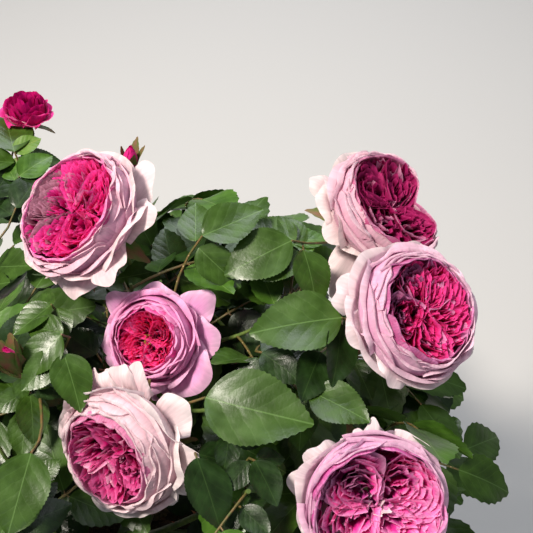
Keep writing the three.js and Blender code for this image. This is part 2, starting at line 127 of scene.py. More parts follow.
# Compound leaves: the stalk's length, the end leaflet's, the side pairs as (place on the stalk, share of the
# end leaflet), the size under which a leaf has one pair, how wide of a bloom a leaflet stays, and where on the
# bush one tone gives way to the next; the lowest tone is a dark painted shade for low, inner leaves
LEAF_REACH = 66.0
END_LEAFLET = 53.0
LEAFLET_PAIRS = ((0.62, 0.86), (0.3, 0.7))
SINGLE_PAIR = ((0.55, 0.84),)
SMALL_LEAF = 0.86
LEAF_MARGIN = 4.0
PAINTED_SHADE_HEIGHT, SHADE_TO_YOUNG = 330.0, 280.0
TONE_STEPS = (0.8, 1.7, 2.3)

# How near the placed leaves' middle another leaf may be seen: a share of their length, and more millimetres
PLACED_SHARE, PLACED_MARGIN = 0.42, 6.0

# Prickles: where they begin on a cane and on a shoot and where they end, in shares of its length
CANE_BARE, SHOOT_BARE, PRICKLY_TO = 0.12, 0.05, 0.93

# The eye that the blooms and upper leaves are seen from, and what is ahead of it and up for it
STANDPOINT = np.array([120.0, -334.0, 1018.0])
SIGHT_AHEAD = np.array([0.0, 0.6428, -0.766])
SIGHT_UP = np.array([0.0, 0.766, 0.6428])
SIGHT_TILT = math.radians(40)
LENS, FILM = 52.3, 36

# The foliage's upper edge from the standpoint: (right, up), both in shares of the distance ahead
SKYLINE = (
    (-0.345, 0.2), (-0.285, 0.19), (-0.255, 0.13), (-0.16, 0.085), (-0.1, 0.095), (0.0, 0.1), (0.05, 0.1),
    (0.22, 0.09), (0.3, 0.03), (0.4, 0.0),
)

# The lights' names, places in metres, diameters, watts and tints, what they aim at, and the sky's strength
LIGHTS = (
    ("key_light", (-0.75, -0.3, 2.2), 0.4, 67, "#fff6ea"),
    ("fill_light", (1.0, -1.5, 1.7), 1.6, 8, "#f2f5ff"),
    ("back_light", (0.2, 1.7, 2.1), 1.5, 40, "#f4f8ff"),
)
LIGHTS_AIM = np.array([0.05, -0.03, 0.5])
SKY_STRENGTH = 0.26
FLOOR_HALF = 30

# Rows and columns of points on each kind of petal
GUARD_GRID = (16, 27)
RING_GRID = (14, 27)
SHELL_GRID = (14, 25)
HEART_GRID = (7, 13)
SMALL_GRID = (12, 19)
BUD_GRID = (10, 9)

# Each bloom: its middle, the way it faces, its diameter, its petals' colour set, how many folds its heart
# is quartered in, how coarse the heart's petals are, how wide the cup is open, the side of the heart that is
# painted in shade with the set's dark fifth colour, the side where the rosette is dented, its longest guard
# petals, the seed of the rest, the petal kind of the very middle where that has a colour of its own, and its
# cup. The cup is told by its scale against the guards, how far it is shifted up as seen, and how blunt and
# how high its upright petals are.
# A guard petal is told by its direction as seen from the standpoint, in degrees, its reach, its half angle
# and how blunt it is: 1.3 is pointed, 3 round. A fifth number is how far its tip hangs.
PLAIN_CUP = (1.0, 0.0, 3.0, 0.255)
TALL_CUP = (1.0, 0.0, 3.0, 0.31)
Bloom = namedtuple(
    "Bloom", "middle faces across colours folds coarse opening faded dent guards seed eye cup",
    defaults=[None, PLAIN_CUP],
)
BLOOMS = {
    "upper_left": Bloom(
        (-7, 29, 640), (-0.49, -0.22, 0.84), 93, "lilac", 5, 0.1, 1.12, (-1, 0.2, 0), None,
        ((27, 0.59, 30, 2.0), (-9, 0.62, 22, 1.3), (-52, 0.64, 24, 1.2), (-93, 0.57, 30, 1.8), (-142, 0.48, 32, 3),
         (72, 0.44, 30, 3)),
        11, None, TALL_CUP,
    ),
    "mid_left": Bloom(
        (43, -41, 588), (-0.23, -0.63, 0.75), 78, "fresh", 4, 0.2, 0.78, None, None,
        ((38, 0.62, 28, 1.3), (8, 0.56, 28, 1.6), (-34, 0.57, 36, 2.2), (-78, 0.5, 30, 3), (92, 0.54, 30, 1.5),
         (138, 0.58, 28, 1.2), (186, 0.58, 32, 1.4), (232, 0.54, 32, 1.8)),
        23, 4, (0.86, 0.05, 1.7, 0.31),
    ),
    "lower_left": Bloom(
        (26, -109, 567), (-0.47, -0.75, 0.46), 94, "cream", 4, 0.9, 0.84, None, None,
        ((74, 0.55, 13, 2.4), (90, 0.57, 14, 2.2), (104, 0.55, 12, 2), (124, 0.54, 16, 1.3), (33, 0.6, 18, 3.4),
         (2, 0.57, 24, 1.6), (-28, 0.54, 26, 2), (-62, 0.5, 30, 2.6)),
        37, None, TALL_CUP,
    ),
    "upper_right": Bloom(
        (207, 59, 614), (0.51, -0.14, 0.85), 96, "dusky", 4, 0.5, 1.08, None, (1, 0.25, 0.2),
        ((156, 0.59, 22, 1.3), (184, 0.54, 26, 2), (206, 0.55, 26, 1.6, 0.08), (236, 0.64, 24, 1.8, 0.2),
         (264, 0.5, 22, 1.4), (100, 0.46, 30, 3), (42, 0.48, 22, 3.4)),
        41,
    ),
    "right": Bloom(
        (217, -40, 622), (0.46, -0.36, 0.81), 92, "crimson", 5, 0.25, 0.96, (-1, 0.5, 0), None,
        ((160, 0.56, 20, 3.2), (200, 0.54, 24, 1.6), (238, 0.54, 24, 1.5), (276, 0.5, 26, 2), (112, 0.46, 26, 3)), 53,
    ),
    "lower_right": Bloom(
        (185, -144, 571), (0.12, -0.73, 0.68), 88, "magenta", 4, 0.35, 1.2, (-0.5, 1, 0), None,
        ((168, 0.585, 22, 1.1), (144, 0.57, 20, 1.4), (104, 0.51, 16, 1.4), (88, 0.5, 14, 1.8),
         (30, 0.47, 26, 3), (215, 0.5, 30, 3)),
        67, 0,
    ),
    "far_left": Bloom(
        (-176, -62, 540), (-0.62, -0.3, 0.72), 92, "lilac", 4, 0.3, 1.0, None, None,
        ((40, 0.55, 28, 1.8), (200, 0.57, 28, 1.6)), 71,
    ),
    "front_low": Bloom(
        (-28, -214, 462), (-0.2, -0.82, 0.54), 92, "magenta", 4, 0.3, 1.0, None, None,
        ((20, 0.56, 28, 1.7), (250, 0.56, 28, 1.8)), 83,
    ),
    "back": Bloom(
        (232, 112, 424), (0.74, 0.52, 0.42), 90, "crimson", 4, 0.4, 0.95, (1, 0, 0), None,
        ((60, 0.55, 28, 1.8), (180, 0.57, 28, 1.6)), 97,
    ),
    "back_left": Bloom(
        (-186, 112, 474), (-0.72, 0.36, 0.6), 88, "cream", 5, 0.7, 0.9, None, None,
        ((100, 0.57, 28, 1.6), (330, 0.55, 28, 1.8)), 103,
    ),
    "small": Bloom(
        (-79, 178, 606), (0.07, 0.08, 0.99), 42, "deep", 3, 0.3, 1.0, None, None, (), 109,
    ),
}

# Each bud: its tip, the way it points, its size, how slim it is and how broad its sepals are. The last two
# are shares: of the size and of the sepals' length.
BUDS = (
    ((22, 92, 646), (0.16, 0.12, 0.98), 14, 0.82, 0.34),
    ((-44, -62, 616), (-0.22, 0.1, 0.96), 17, 0.62, 0.5),
    ((-118, -150, 560), (-0.3, -0.4, 0.87), 16, 1.0, 0.36),
    ((88, -200, 540), (0.1, -0.5, 0.86), 16, 0.85, 0.46),
    ((-140, 48, 590), (-0.3, 0.2, 0.93), 17, 1.0, 0.36),
)

# Petal colours of each set: the guard petals, the cup, the ring round the heart, the heart itself and a fifth
# kind: in the fresh set the green eye's own colour, in the others a dark painted shade for the heart's shaded
# side, each from its foot over its middle to its rim.
# Each foot colour is darker than its rim, partly as painted shade deep down in the bloom.
PETAL_SETS = {
    "lilac": (
        ("#cfa6b6", "#dfc2cb", "#e8d3d6"),
        ("#c4749f", "#d99ebd", "#e6bfce"),
        ("#ad1063", "#d6408e", "#ea90bf"),
        ("#9c0050", "#e00a78", "#f04ca6"),
        ("#3c1420", "#7a3650", "#b27c92"),
    ),
    "fresh": (
        ("#d67cb8", "#e49ace", "#efbcdc"),
        ("#c85ea6", "#e282c0", "#f0a8d2"),
        ("#ad0c62", "#da3490", "#ee80bd"),
        ("#c40054", "#f20070", "#f858a4"),
        ("#8c9a2c", "#b4b23c", "#d8cc66"),
    ),
    "cream": (
        ("#d6b0b8", "#e4ccd0", "#ecdfe0"),
        ("#d08eae", "#e2bac8", "#ecd4da"),
        ("#a02470", "#d0649e", "#e8a8c6"),
        ("#6e0040", "#bc1068", "#e068a6"),
        ("#4a1030", "#84305a", "#b96f96"),
    ),
    "dusky": (
        ("#dfb9c2", "#ecd2d6", "#f2e2e2"),
        ("#c983a4", "#dea8c0", "#ecc8d5"),
        ("#7a1848", "#b33f78", "#de96b8"),
        ("#30001a", "#800040", "#b02c6c"),
        ("#2c0a1c", "#661a3e", "#a05072"),
    ),
    "crimson": (
        ("#dfb3c4", "#ecd0d8", "#f3e2e6"),
        ("#c67ba8", "#dda1c4", "#ecc6d8"),
        ("#821852", "#b84283", "#dc90be"),
        ("#600032", "#cc0062", "#ea4a9a"),
        ("#30081f", "#6e1c48", "#a55e8c"),
    ),
    "magenta": (
        ("#e0b6c8", "#ebd0da", "#f2e2e6"),
        ("#c674ac", "#dc9cc6", "#ebc1da"),
        ("#a01c74", "#d44ea8", "#eea0d0"),
        ("#c0147e", "#f244aa", "#fca4da"),
        ("#481232", "#8a3064", "#c484ac"),
    ),
    # The deep set darkens row by row inwards, partly as painted shade in the small bloom's middle and in buds.
    "deep": (
        ("#a00858", "#d8107c", "#ee3498"),
        ("#86044a", "#c80a70", "#e2288c"),
        ("#6c0238", "#b40860", "#d41c7c"),
        ("#4a0224", "#920850", "#c0146c"),
        ("#4a0224", "#920850", "#c0146c"),
    ),
}

# Leaves with a place of their own on top of the bush: the joint of the leaflets, the tip of the end one,
# the way its upper face looks, and the tone. Tone 0 is the dark painted shade, given to leaves that lie in shadow.
PLACED_LEAVES = (
    ((77, 16, 633), (118, 36, 637), (0.21, -0.12, 0.97), 1),
    ((137, 17, 627), (93, -6, 621), (0.22, -0.21, 0.95), 1),
    ((145, 21, 618), (131, 46, 625), (0.15, 0.07, 0.99), 1),
    ((145, 12, 623), (157, -25, 611), (0.46, -0.41, 0.78), 1),
    ((168, -41, 618), (110, -51, 622), (0.0, -0.17, 0.98), 1),
    ((168, -42, 612), (164, -80, 600), (0.34, -0.88, 0.33), 0),
    ((83, -93, 607), (144, -115, 614), (0.2, -0.33, 0.92), 1),
    ((117, -55, 599), (141, -76, 602), (0.08, -0.27, 0.96), 0),
    ((155, -55, 599), (141, -88, 598), (0.35, -0.29, 0.89), 0),
    ((148, -80, 592), (182, -102, 599), (0.08, -0.09, 0.99), 1),
    ((79, -127, 596), (95, -166, 589), (0.57, -0.53, 0.63), 0),
    ((97, -108, 588), (95, -130, 583), (0.2, -0.5, 0.84), 0),
    ((105, -149, 576), (121, -165, 575), (0.4, -0.4, 0.82), 0),
    ((-18, -126, 600), (-25, -170, 590), (0.25, -0.05, 0.96), 1),
    ((-11, -50, 612), (-33, -76, 603), (0.15, -0.02, 0.98), 1),
    ((-8, -62, 608), (7, -95, 600), (0.42, -0.34, 0.84), 1),
    ((-23, -23, 608), (-44, -44, 604), (-0.26, -0.13, 0.96), 1),
    ((113, -126, 590), (127, -150, 584), (0.46, -0.41, 0.78), 0),
    ((-50, -50, 588), (-39, -15, 596), (0.25, -0.35, 0.9), 0),
    ((-37, -62, 584), (-20, -34, 590), (-0.1, -0.3, 0.95), 0),
    ((3, -37, 570), (-23, -21, 574), (0.1, -0.2, 0.97), 0),
    ((5, -47, 566), (-24, -63, 560), (-0.1, -0.45, 0.9), 0),
    ((-37, -64, 590), (-19, -71, 586), (0.2, -0.5, 0.85), 1),
    ((-34, -73, 578), (-28, -101, 566), (0.4, 0.05, 0.9), 1),
    ((-39, -159, 560), (-25, -118, 580), (0.25, -0.1, 0.96), 1),
    ((-31, -152, 556), (0, -142, 560), (0.3, -0.6, 0.75), 0),
    ((-27, -139, 552), (-14, -123, 556), (-0.2, -0.3, 0.93), 0),
    ((-28, -120, 548), (-14, -107, 552), (0.1, -0.25, 0.96), 1),
    ((-81, 133, 604), (-100, 180, 606), (0.4, -0.45, 0.8), 1),
    ((-83, 135, 602), (-63, 148, 606), (0.1, -0.3, 0.95), 3),
    ((-75, 113, 596), (-54, 137, 600), (0.15, -0.4, 0.9), 2),
    ((-74, 86, 588), (-59, 120, 594), (0.1, -0.2, 0.97), 0),
    ((-93, 97, 590), (-83, 130, 596), (0.3, -0.5, 0.8), 0),
)


def unit(vector):
    """A direction of length 1, or several."""
    vector = np.asarray(vector, float)
    return vector / np.linalg.norm(vector, axis=-1, keepdims=True)


def settled(normal, along):
    """A direction made square to another one."""
    return unit(normal - along * np.dot(normal, along))


def swung(first, second, turn):
    """The direction at an angle from first towards second."""
    return first * math.cos(turn) + second * math.sin(turn)


def around(radius, turn, height):
    """A point at a radius, an angle and a height."""
    return radius * math.cos(turn), radius * math.sin(turn), height


def turns_in(steps):
    """The angles of evenly spaced steps all round."""
    return [step / steps * FULL_TURN for step in range(steps)]


def make_dice(seeds, number=0):
    """The same numbers for the same thing of a kind, from 0 up to 1."""
    state = [(seeds[0] + seeds[1] * number) % DICE_RANGE]

    def roll():
        state[0] = (state[0] * DICE_STEP + DICE_SHIFT) % DICE_RANGE
        return state[0] / DICE_RANGE

    roll()
    roll()
    return roll


def linear(colour):
    """An sRGB hex colour as linear red, green, blue and alpha."""
    parts = [int(colour[i : i + 2], 16) / 255 for i in (1, 3, 5)]
    return [p / 12.92 if p <= 0.04045 else ((p + 0.055) / 1.055) ** 2.4 for p in parts] + [1.0]


def darker(colour, share):
    """A linear colour at the given share of its brightness."""
    return [part * share for part in colour[:3]] + [1.0]


def node(tree, kind, inputs=None, stops=None, **settings):
    """Adds a node with its settings, its inputs' values or links, and a ramp's stops."""
    made = tree.nodes.new(kind)
    for key, value in settings.items():
        setattr(made, key, value)
    for key, value in (inputs or {}).items():
        if isinstance(value, bpy.types.NodeSocket):
            tree.links.new(value, made.inputs[key])
        else:
            made.inputs[key].default_value = value
    if stops:
        steps = made.color_ramp.elements
        while len(steps) < len(stops):
            steps.new(0.5)
        for step, (place, colour) in zip(steps, stops):
            step.position = place
            step.color = linear(colour) if isinstance(colour, str) else colour
    return made


# Lines and the crown's rule


class Line:
    """A curve in millimetres, read by the share of its own length."""

    def __init__(self, *controls):
        t = np.linspace(0, 1, 201)[:, None]
        p = [np.asarray(c, float) for c in controls]
        if len(p) == 3:
            self.points = (1 - t) ** 2 * p[0] + 2 * t * (1 - t) * p[1] + t**2 * p[2]
        elif len(p) == 4:
            a, b = (1 - t) ** 3 * p[0] + 3 * t * (1 - t) ** 2 * p[1], 3 * t**2 * (1 - t) * p[2]
            self.points = a + b + t**3 * p[3]
        else:
            self.points = (1 - t) * p[0] + t * p[1]
        steps = np.linalg.norm(np.diff(self.points, axis=0), axis=1)
        self.reached = np.concatenate([[0], np.cumsum(steps)])
        self.length = self.reached[-1]

    def at(self, share):
        """The point at a share of the length."""
        wanted = share * self.length
        return np.array([np.interp(wanted, self.reached, self.points[:, k]) for k in range(3)])

    def along(self, share):
        """The way the line runs there."""
        low, high = max(share - 0.005, 0), min(share + 0.005, 1)
        return unit(self.at(high) - self.at(low))


def sideways(along, near=None):
    """Two directions square to a line."""
    if near is None:
        near = UP if abs(along[2]) < 0.9 else np.array([1.0, 0, 0])
    first = settled(near, along)
    return first, np.cross(along, first)


def make_hubs():
    """The top of each cane and its line."""
    foot = np.array([0, 0, COMPOST_TOP + UNION_HEIGHT * 0.5])
    right, front = HUB_LEAN
    places = [np.array([right, front, HUB_TOP_HEIGHT])]
    for i in range(RING_CANES):
        turn = (i + 0.2) / RING_CANES * FULL_TURN
        height = HUB_RING_HEIGHT + HUB_HEIGHT_WAVE * math.sin(turn * 3 + 1)
        x, y, _ = around(HUB_RING_RADIUS, turn, height)
        places.append(np.array([x + right, y + front, height]))
    hubs = []
    for place in places:
        aside = (place - foot) * (1, 1, 0)
        start = foot + aside * CANE_START
        knee = start + (place - start) * CANE_KNEE + UP * CANE_BOW
        hubs.append((place, Line(start, knee, place)))
    return hubs


def crown_point(sine, turn):
    """A point on the crown's outline, by its height's sine and its angle."""
    radius = CROWN_RADIUS * math.sqrt(1 - sine * sine) ** CROWN_SQUARENESS
    height = abs(sine) ** CROWN_SQUARENESS * (CROWN_RISE if sine > 0 else -CROWN_FALL)
    point = np.array(around(radius, turn, height))
    if sine > 0:
        point[2] -= CROWN_BACK_DROP * max(point[1], 0)
    return point + CROWN_CENTRE


def bloom_foot(bloom):
    """Where a bloom sits on its stalk, and the way it faces."""
    faces = unit(bloom.faces)
    return np.array(bloom.middle) - faces * BLOOM_STALK * bloom.across, faces


def make_tips():
    """Everything that a shoot can end in: (kind, place, direction)."""
    tips = [("bloom", *bloom_foot(bloom)) for bloom in BLOOMS.values()]
    for tip, points, size, *_ in BUDS:
        points = unit(points)
        tips.append(("bud", np.array(tip) - points * size * BUD_LENGTH * BUD_SEAT, points))
    taken = [place for _, place, _ in tips]
    for i in range(LEAFY_TIPS):
        sine = CROWN_LOWEST_SINE + (CROWN_HIGHEST_SINE - CROWN_LOWEST_SINE) * (i + 0.5) / LEAFY_TIPS
        place = crown_point(sine, i * GOLDEN_TURN)
        if all(np.linalg.norm(other - place) > TIP_CLEARANCE for other in taken):
            tips.append(("leaves", place, unit(unit(place - CROWN_CENTRE) + UP)))
    return tips


def make_shoots(hubs, tips):
    """Each tip's shoot, from the nearest cane."""
    counts = [0] * len(hubs)
    shoots = []
    for _, place, direction in tips:
        owner = min(range(len(hubs)), key=lambda i: np.linalg.norm(hubs[i][0] - place))
        cane = hubs[owner][1]
        share = 1 - (counts[owner] + 0.4) * SHOOT_STEP / cane.length
        counts[owner] += 1
        foot = cane.at(share)
        reach = np.linalg.norm(place - foot)
        start = foot + cane.along(share) * reach * SHOOT_START_PULL
        shoots.append(Line(foot, start, place - direction * reach * SHOOT_END_PULL, place))
    return shoots


def inside_crown(point, share=1.0):
    """Whether a point lies within the crown's outline, taken at the given share of its size."""
    offset = point - CROWN_CENTRE
    height = offset[2] + (CROWN_BACK_DROP * max(offset[1], 0) if offset[2] > 0 else 0)
    power = 2 / CROWN_SQUARENESS
    level = np.hypot(offset[0], offset[1]) / (CROWN_RADIUS * share)
    rise = abs(height) / ((CROWN_RISE if height > 0 else CROWN_FALL) * share)
    return level**power + rise**power < 1


def make_twigs(shoots, blooms):
    """Finer side twigs off the shoots: each bends up from its shoot and stays within the crown."""
    twigs = []
    for number, shoot in enumerate(shoots):
        dice = make_dice(TWIG_SEEDS, number)
        first_turn = dice() * FULL_TURN
        for order, share in enumerate(TWIG_PLACES):
            share = share + (dice() - 0.5) * 0.08
            foot, tangent = shoot.at(share), shoot.along(share)
            side = swung(*sideways(tangent), first_turn + order * GOLDEN_TURN)
            length = TWIG_LENGTH * (0.7 + 0.6 * dice())
            way = unit(tangent * 0.55 + side * 0.85)
            end = foot + way * length * 0.9 + UP * length * 0.3
            twig = Line(foot, foot + way * length * 0.6, end)
            hiding = any(hides_bloom(twig.at(k), blooms, TWIG_MARGIN) for k in (0.4, 0.7, 1))
            if inside_crown(end, TWIG_WITHIN) and not hiding:
                twigs.append(twig)
    return twigs


def leaves_on(line, kind, number, internode):
    """Feet and frames of the leaves on one shoot, from its tip down."""
    dice = make_dice(SHOOT_SEEDS, number)
    lowest = line.length * (1 - LEAFY_SHARE)
    first_turn = dice() * FULL_TURN
    height = line.length - (4 if kind == "leaves" else BARE_NECK)
    count = 0
    leaves = []
    while height > lowest:
        share = height / line.length
        foot, tangent = line.at(share), line.along(share)
        side = swung(*sideways(tangent), first_turn + count * GOLDEN_TURN)
        out = unit((foot - CROWN_CENTRE) * (1, 1, 0) + (1e-6, 0, 0))
        along = swung(tangent, side, LEAF_SPREAD) + out * LEAF_OUTWARD
        along[2] = along[2] * 0.5 + (dice() - 0.5) * 0.3
        along = unit(along)
        lean = np.array([dice() - 0.5, dice() - 0.5, 0]) * 0.7
        normal = settled(UP + out * LEAF_OUTWARD + lean, along)
        size = 0.8 + 0.34 * dice()
        leaves.append((foot, along, normal, size, share, dice()))
        height -= internode * (0.8 + 0.4 * dice())
        count += 1
    return leaves


def over_skyline(point):
    """True where a point is seen above the foliage's upper edge."""
    offset = point - STANDPOINT
    ahead = offset @ SIGHT_AHEAD
    right, up = offset[0] / ahead, (offset @ SIGHT_UP) / ahead
    return up > np.interp(right, *zip(*SKYLINE))


def near_line(point, start, way, low, high, reach):
    """Whether a point is within reach of the line from start along way, between low and high on it."""
    offset = point - start
    ahead = offset @ way
    return low < ahead < high and np.linalg.norm(offset - way * ahead) < reach


def in_sight_of(point, middle, low, reach):
    """Whether a point is within reach of the line from middle to the standpoint. A low below 0 is behind it."""
    return near_line(point, middle, unit(STANDPOINT - middle), low, math.inf, reach)


def hides_bloom(point, blooms, margin):
    """True where a leaf would stand close before a bloom's face, or between it and the standpoint."""
    for base, faces, across in blooms:
        reach = across * 0.5 + margin
        if near_line(point, base + faces * across * 0.1, faces, 0, across, reach):
            return True
        if in_sight_of(point, base + faces * across * 0.25, -across * 0.1, reach):
            return True
    return False


def hides_placed(point):
    """True where a leaf would stand between the standpoint and one of the placed leaves."""
    for joint, tip, *_ in PLACED_LEAVES:
        joint, tip = np.array(joint, float), np.array(tip, float)
        if in_sight_of(point, (joint + tip) / 2, -4, np.linalg.norm(joint - tip) * PLACED_SHARE + PLACED_MARGIN):
            return True
    return False


def kept_clear(point, blooms, margin):
    """True where no leaf may stand."""
    return hides_bloom(point, blooms, margin) or hides_placed(point) or over_skyline(point)


# Meshes


def linked(name, data):
    """A new object of the scene."""
    made = bpy.data.objects.new(name, data)
    bpy.context.scene.collection.objects.link(made)
    return made


def with_modifiers(made):
    """A mesh of an object as its modifiers leave it."""
    depsgraph = bpy.context.evaluated_depsgraph_get()
    return bpy.data.meshes.new_from_object(made.evaluated_get(depsgraph), depsgraph=depsgraph)


def piece_from(name, corners, faces, materials, slots=None, maps=None):
    """A mesh piece from points in millimetres, with its faces' material numbers and corner map."""
    mesh = bpy.data.meshes.new(name)
    mesh.from_pydata(np.asarray(corners) * MM, [], faces)
    for material in materials:
        mesh.materials.append(material)
    if slots is not None:
        mesh.polygons.foreach_set("material_index", np.asarray(slots, np.int32))
    if maps is not None:
        layer = mesh.uv_layers.new(name="OFBake")
        order = np.empty(len(mesh.loops), np.int32)
        mesh.loops.foreach_get("vertex_index", order)
        layer.data.foreach_set("uv", np.asarray(maps)[order].astype(np.float32).ravel())
    mesh.polygons.foreach_set("use_smooth", [True] * len(mesh.polygons))
    mesh.update()
    return linked(name, mesh)


def hand_over(piece, replaced=()):
    """Puts a finished piece in the frame."""
    if replaced:
        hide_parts(*replaced)
    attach(piece, "root")


class Sheets:
    """Many like sheets gathered into one mesh, each with its own points, faces, map and material."""

    def __init__(self):
        self.points, self.faces, self.maps, self.slots, self.count = [], [], [], [], 0

    def add(self, points, faces, maps, slot=0):
        """One more sheet."""
        self.points.append(points)
        self.maps.append(maps)
        self.faces.extend([tuple(c + self.count for c in face) for face in faces])
        self.slots.extend([slot] * len(faces))
        self.count += len(points)

    def piece(self, name, materials):
        """The sheets as one piece, with only the materials that they use."""
        used = sorted(set(self.slots))
        slots = [used.index(slot) for slot in self.slots]
        points, maps = np.concatenate(self.points), np.concatenate(self.maps)
        return piece_from(name, points, self.faces, [materials[slot] for slot in used], slots, maps)


def grid_faces(rows, columns):
    """Faces of a grid of points, row by row."""
    faces = []
    for row in range(rows - 1):
        for column in range(columns - 1):
            low = row * columns + column
            faces.append((low, low + 1, low + columns + 1, low + columns))
    return faces


def frame_of(faces):
    """The two cross directions and the facing one of something that looks along faces."""
    first, second = sideways(unit(faces), UP if abs(faces[2]) < 0.9 else np.array([0, -1.0, 0]))
    return np.array([first, second, unit(faces)])


# Petals


def through(path, shares):
    """A smooth line through a path's points, read at the given shares."""
    path = np.asarray(path, float)
    last = len(path) - 1
    place = np.clip(shares, 0, 1) * last
    low = np.minimum(place.astype(int), last - 1)
    t = (place - low)[..., None]
    before, after = path[np.maximum(low - 1, 0)], path[np.minimum(low + 2, last)]
    start, end = path[low], path[low + 1]
    bend = 2 * before - 5 * start + 4 * end - after
    curl = 3 * start - before - 3 * end + after
    return 0.5 * (2 * start + (end - before) * t + bend * t**2 + curl * t**3)


def uneven(dice, u, waves, size):
    """A gentle unevenness along a petal's width: a few waves, each with its own phase."""
    total = 0 * u
    for wave in waves:
        total = total + np.sin(u * wave + dice() * FULL_TURN) * size / (1 + 0.3 * wave) * (0.6 + 0.8 * dice())
    return total


ATLAS_CELLS = ((0, 0), (1, 0), (2, 0), (0, 1), (1, 1))  # each petal kind's own part of the map
ATLAS_WIDE, ATLAS_HIGH, ATLAS_EDGE = 1 / 3, 0.5, 0.01
HEART_FOOT, HEART_REACH = 0.22, 0.345  # in diameters of the bloom
DENT_DEPTH, DENT_WIDTH = 0.42, 0.42  # a share of the bloom's width, and an angle


def petal_map(kind, u, v):
    """Where a petal's points lie in the map: u from side to side, v from foot to rim."""
    column, row = ATLAS_CELLS[kind]
    across = (column + ATLAS_EDGE + (0.5 + 0.5 * u) * (1 - 2 * ATLAS_EDGE)) * ATLAS_WIDE
    up = (row + ATLAS_EDGE + v * (1 - 2 * ATLAS_EDGE)) * ATLAS_HIGH
    return np.stack([across + 0 * up, up + 0 * across], axis=-1).reshape(-1, 2)


def bell(x):
    """1 at 0, and gently down to nothing on both sides."""
    return np.exp(-(x**2))


def petal_grid(size):
    """The shares of a petal's points from foot to rim, and from side to side."""
    rows, columns = size
    return np.linspace(0, 1, rows)[:, None], np.linspace(-1, 1, columns)[None, :]


def add_petal(
    sheets, place, dice, kind, size, turn, half, path, shoulder, ragged, ruffle, roll, shingle=0.0, blunt=3.0,
    droop=0.0,
):
    """One petal on the cup: it follows its side view, path, as far as its own uneven rim.

    shoulder is how much lower the rim is at its sides, ragged how uneven it is, ruffle how much the
    petal waves, roll how far its edge turns out, blunt how round its end is and droop how far its sides
    bend back. Lengths are shares of the bloom's diameter.
    """
    v, u = petal_grid(size)
    short = shoulder * np.abs(u) ** blunt + uneven(dice, u, (2.2, 4.7, 8.3, 13.1), ragged)
    short = short + max(3 - blunt, 0) * 0.05 * (1 - bell(u / 0.24))
    point = (dice() - 0.35) * ragged * 1.4
    short = short - point * bell((u - 0.3 * (dice() - 0.5)) / 0.14)
    reach = v * (1 - short * np.clip(v * 1.4 - 0.4, 0, 1))
    line = through(path, reach * 0.97)
    radius, height = line[..., 0], line[..., 1]
    narrow = 0.4 + 0.6 * np.sin(np.clip(v * 1.3, 0, 1) * math.pi / 2)
    angle = turn + u * half * narrow
    sway = uneven(dice, u, (3.1, 6.4), ruffle) * v**2 + shingle * u * v
    edge = np.clip((v - 0.86) / 0.14, 0, 1) ** 2 * roll * (0.5 + 0.8 * np.abs(np.sin(u * 2.3 + dice() * 6)))
    radius = radius + sway + edge
    height = height + uneven(dice, u, (2.7, 5.2, 9.5), ruffle * 0.8) * v**2 - edge * 0.35 - droop * u**2 * v**2
    points = np.stack([radius * np.cos(angle), radius * np.sin(angle), height], axis=-1)
    sheets.add(place(points.reshape(-1, 3)), grid_faces(*size), petal_map(kind, u, v), kind)


def add_ring(sheets, place, dice, kind, count, first, path, half, size, shape, stretch=0.06, loose=0.0, blunt=3.0):
    """A ring of like petals, each a little different. shape is (shoulder, ragged, ruffle, roll).

    loose is how far a single petal may stand out from its ring or sag below it, blunt how round its end is.
    """
    shoulder, ragged, ruffle, roll = shape
    for i in range(count):
        turn = first + i / count * FULL_TURN + (dice() - 0.5) * 0.3
        longer, lift = 1 + (dice() - 0.5) * 2 * stretch, (dice() - 0.5) * 0.5 * stretch
        out, sag = loose * dice() ** 1.5, loose * 1.6 * dice() ** 1.5
        own = []
        for n, (r, z) in enumerate(path):
            k = n / len(path)
            own.append((r * (1 + (longer - 1) * k**2) + out * k**3, z + lift * k - sag * k**2))
        add_petal(
            sheets, place, dice, kind, size, turn, math.radians(half * (0.88 + 0.24 * dice())), own,
            shoulder * (0.7 + 0.6 * dice()), ragged, ruffle, roll * (0.4 + 1.2 * dice()), 0.02 * (dice() - 0.2),
            blunt,
        )


def cup_path(widest, rim, top):
    """Side view of a petal that bulges out and leans in again at its rim."""
    return (
        (0.04, 0.03), (widest * 0.55, 0.055), (widest * 0.88, 0.125), (widest, 0.215),
        ((widest * 2 + rim) / 3 + 0.008, top - 0.075), (rim, top - 0.012), (rim - 0.004, top),
    )


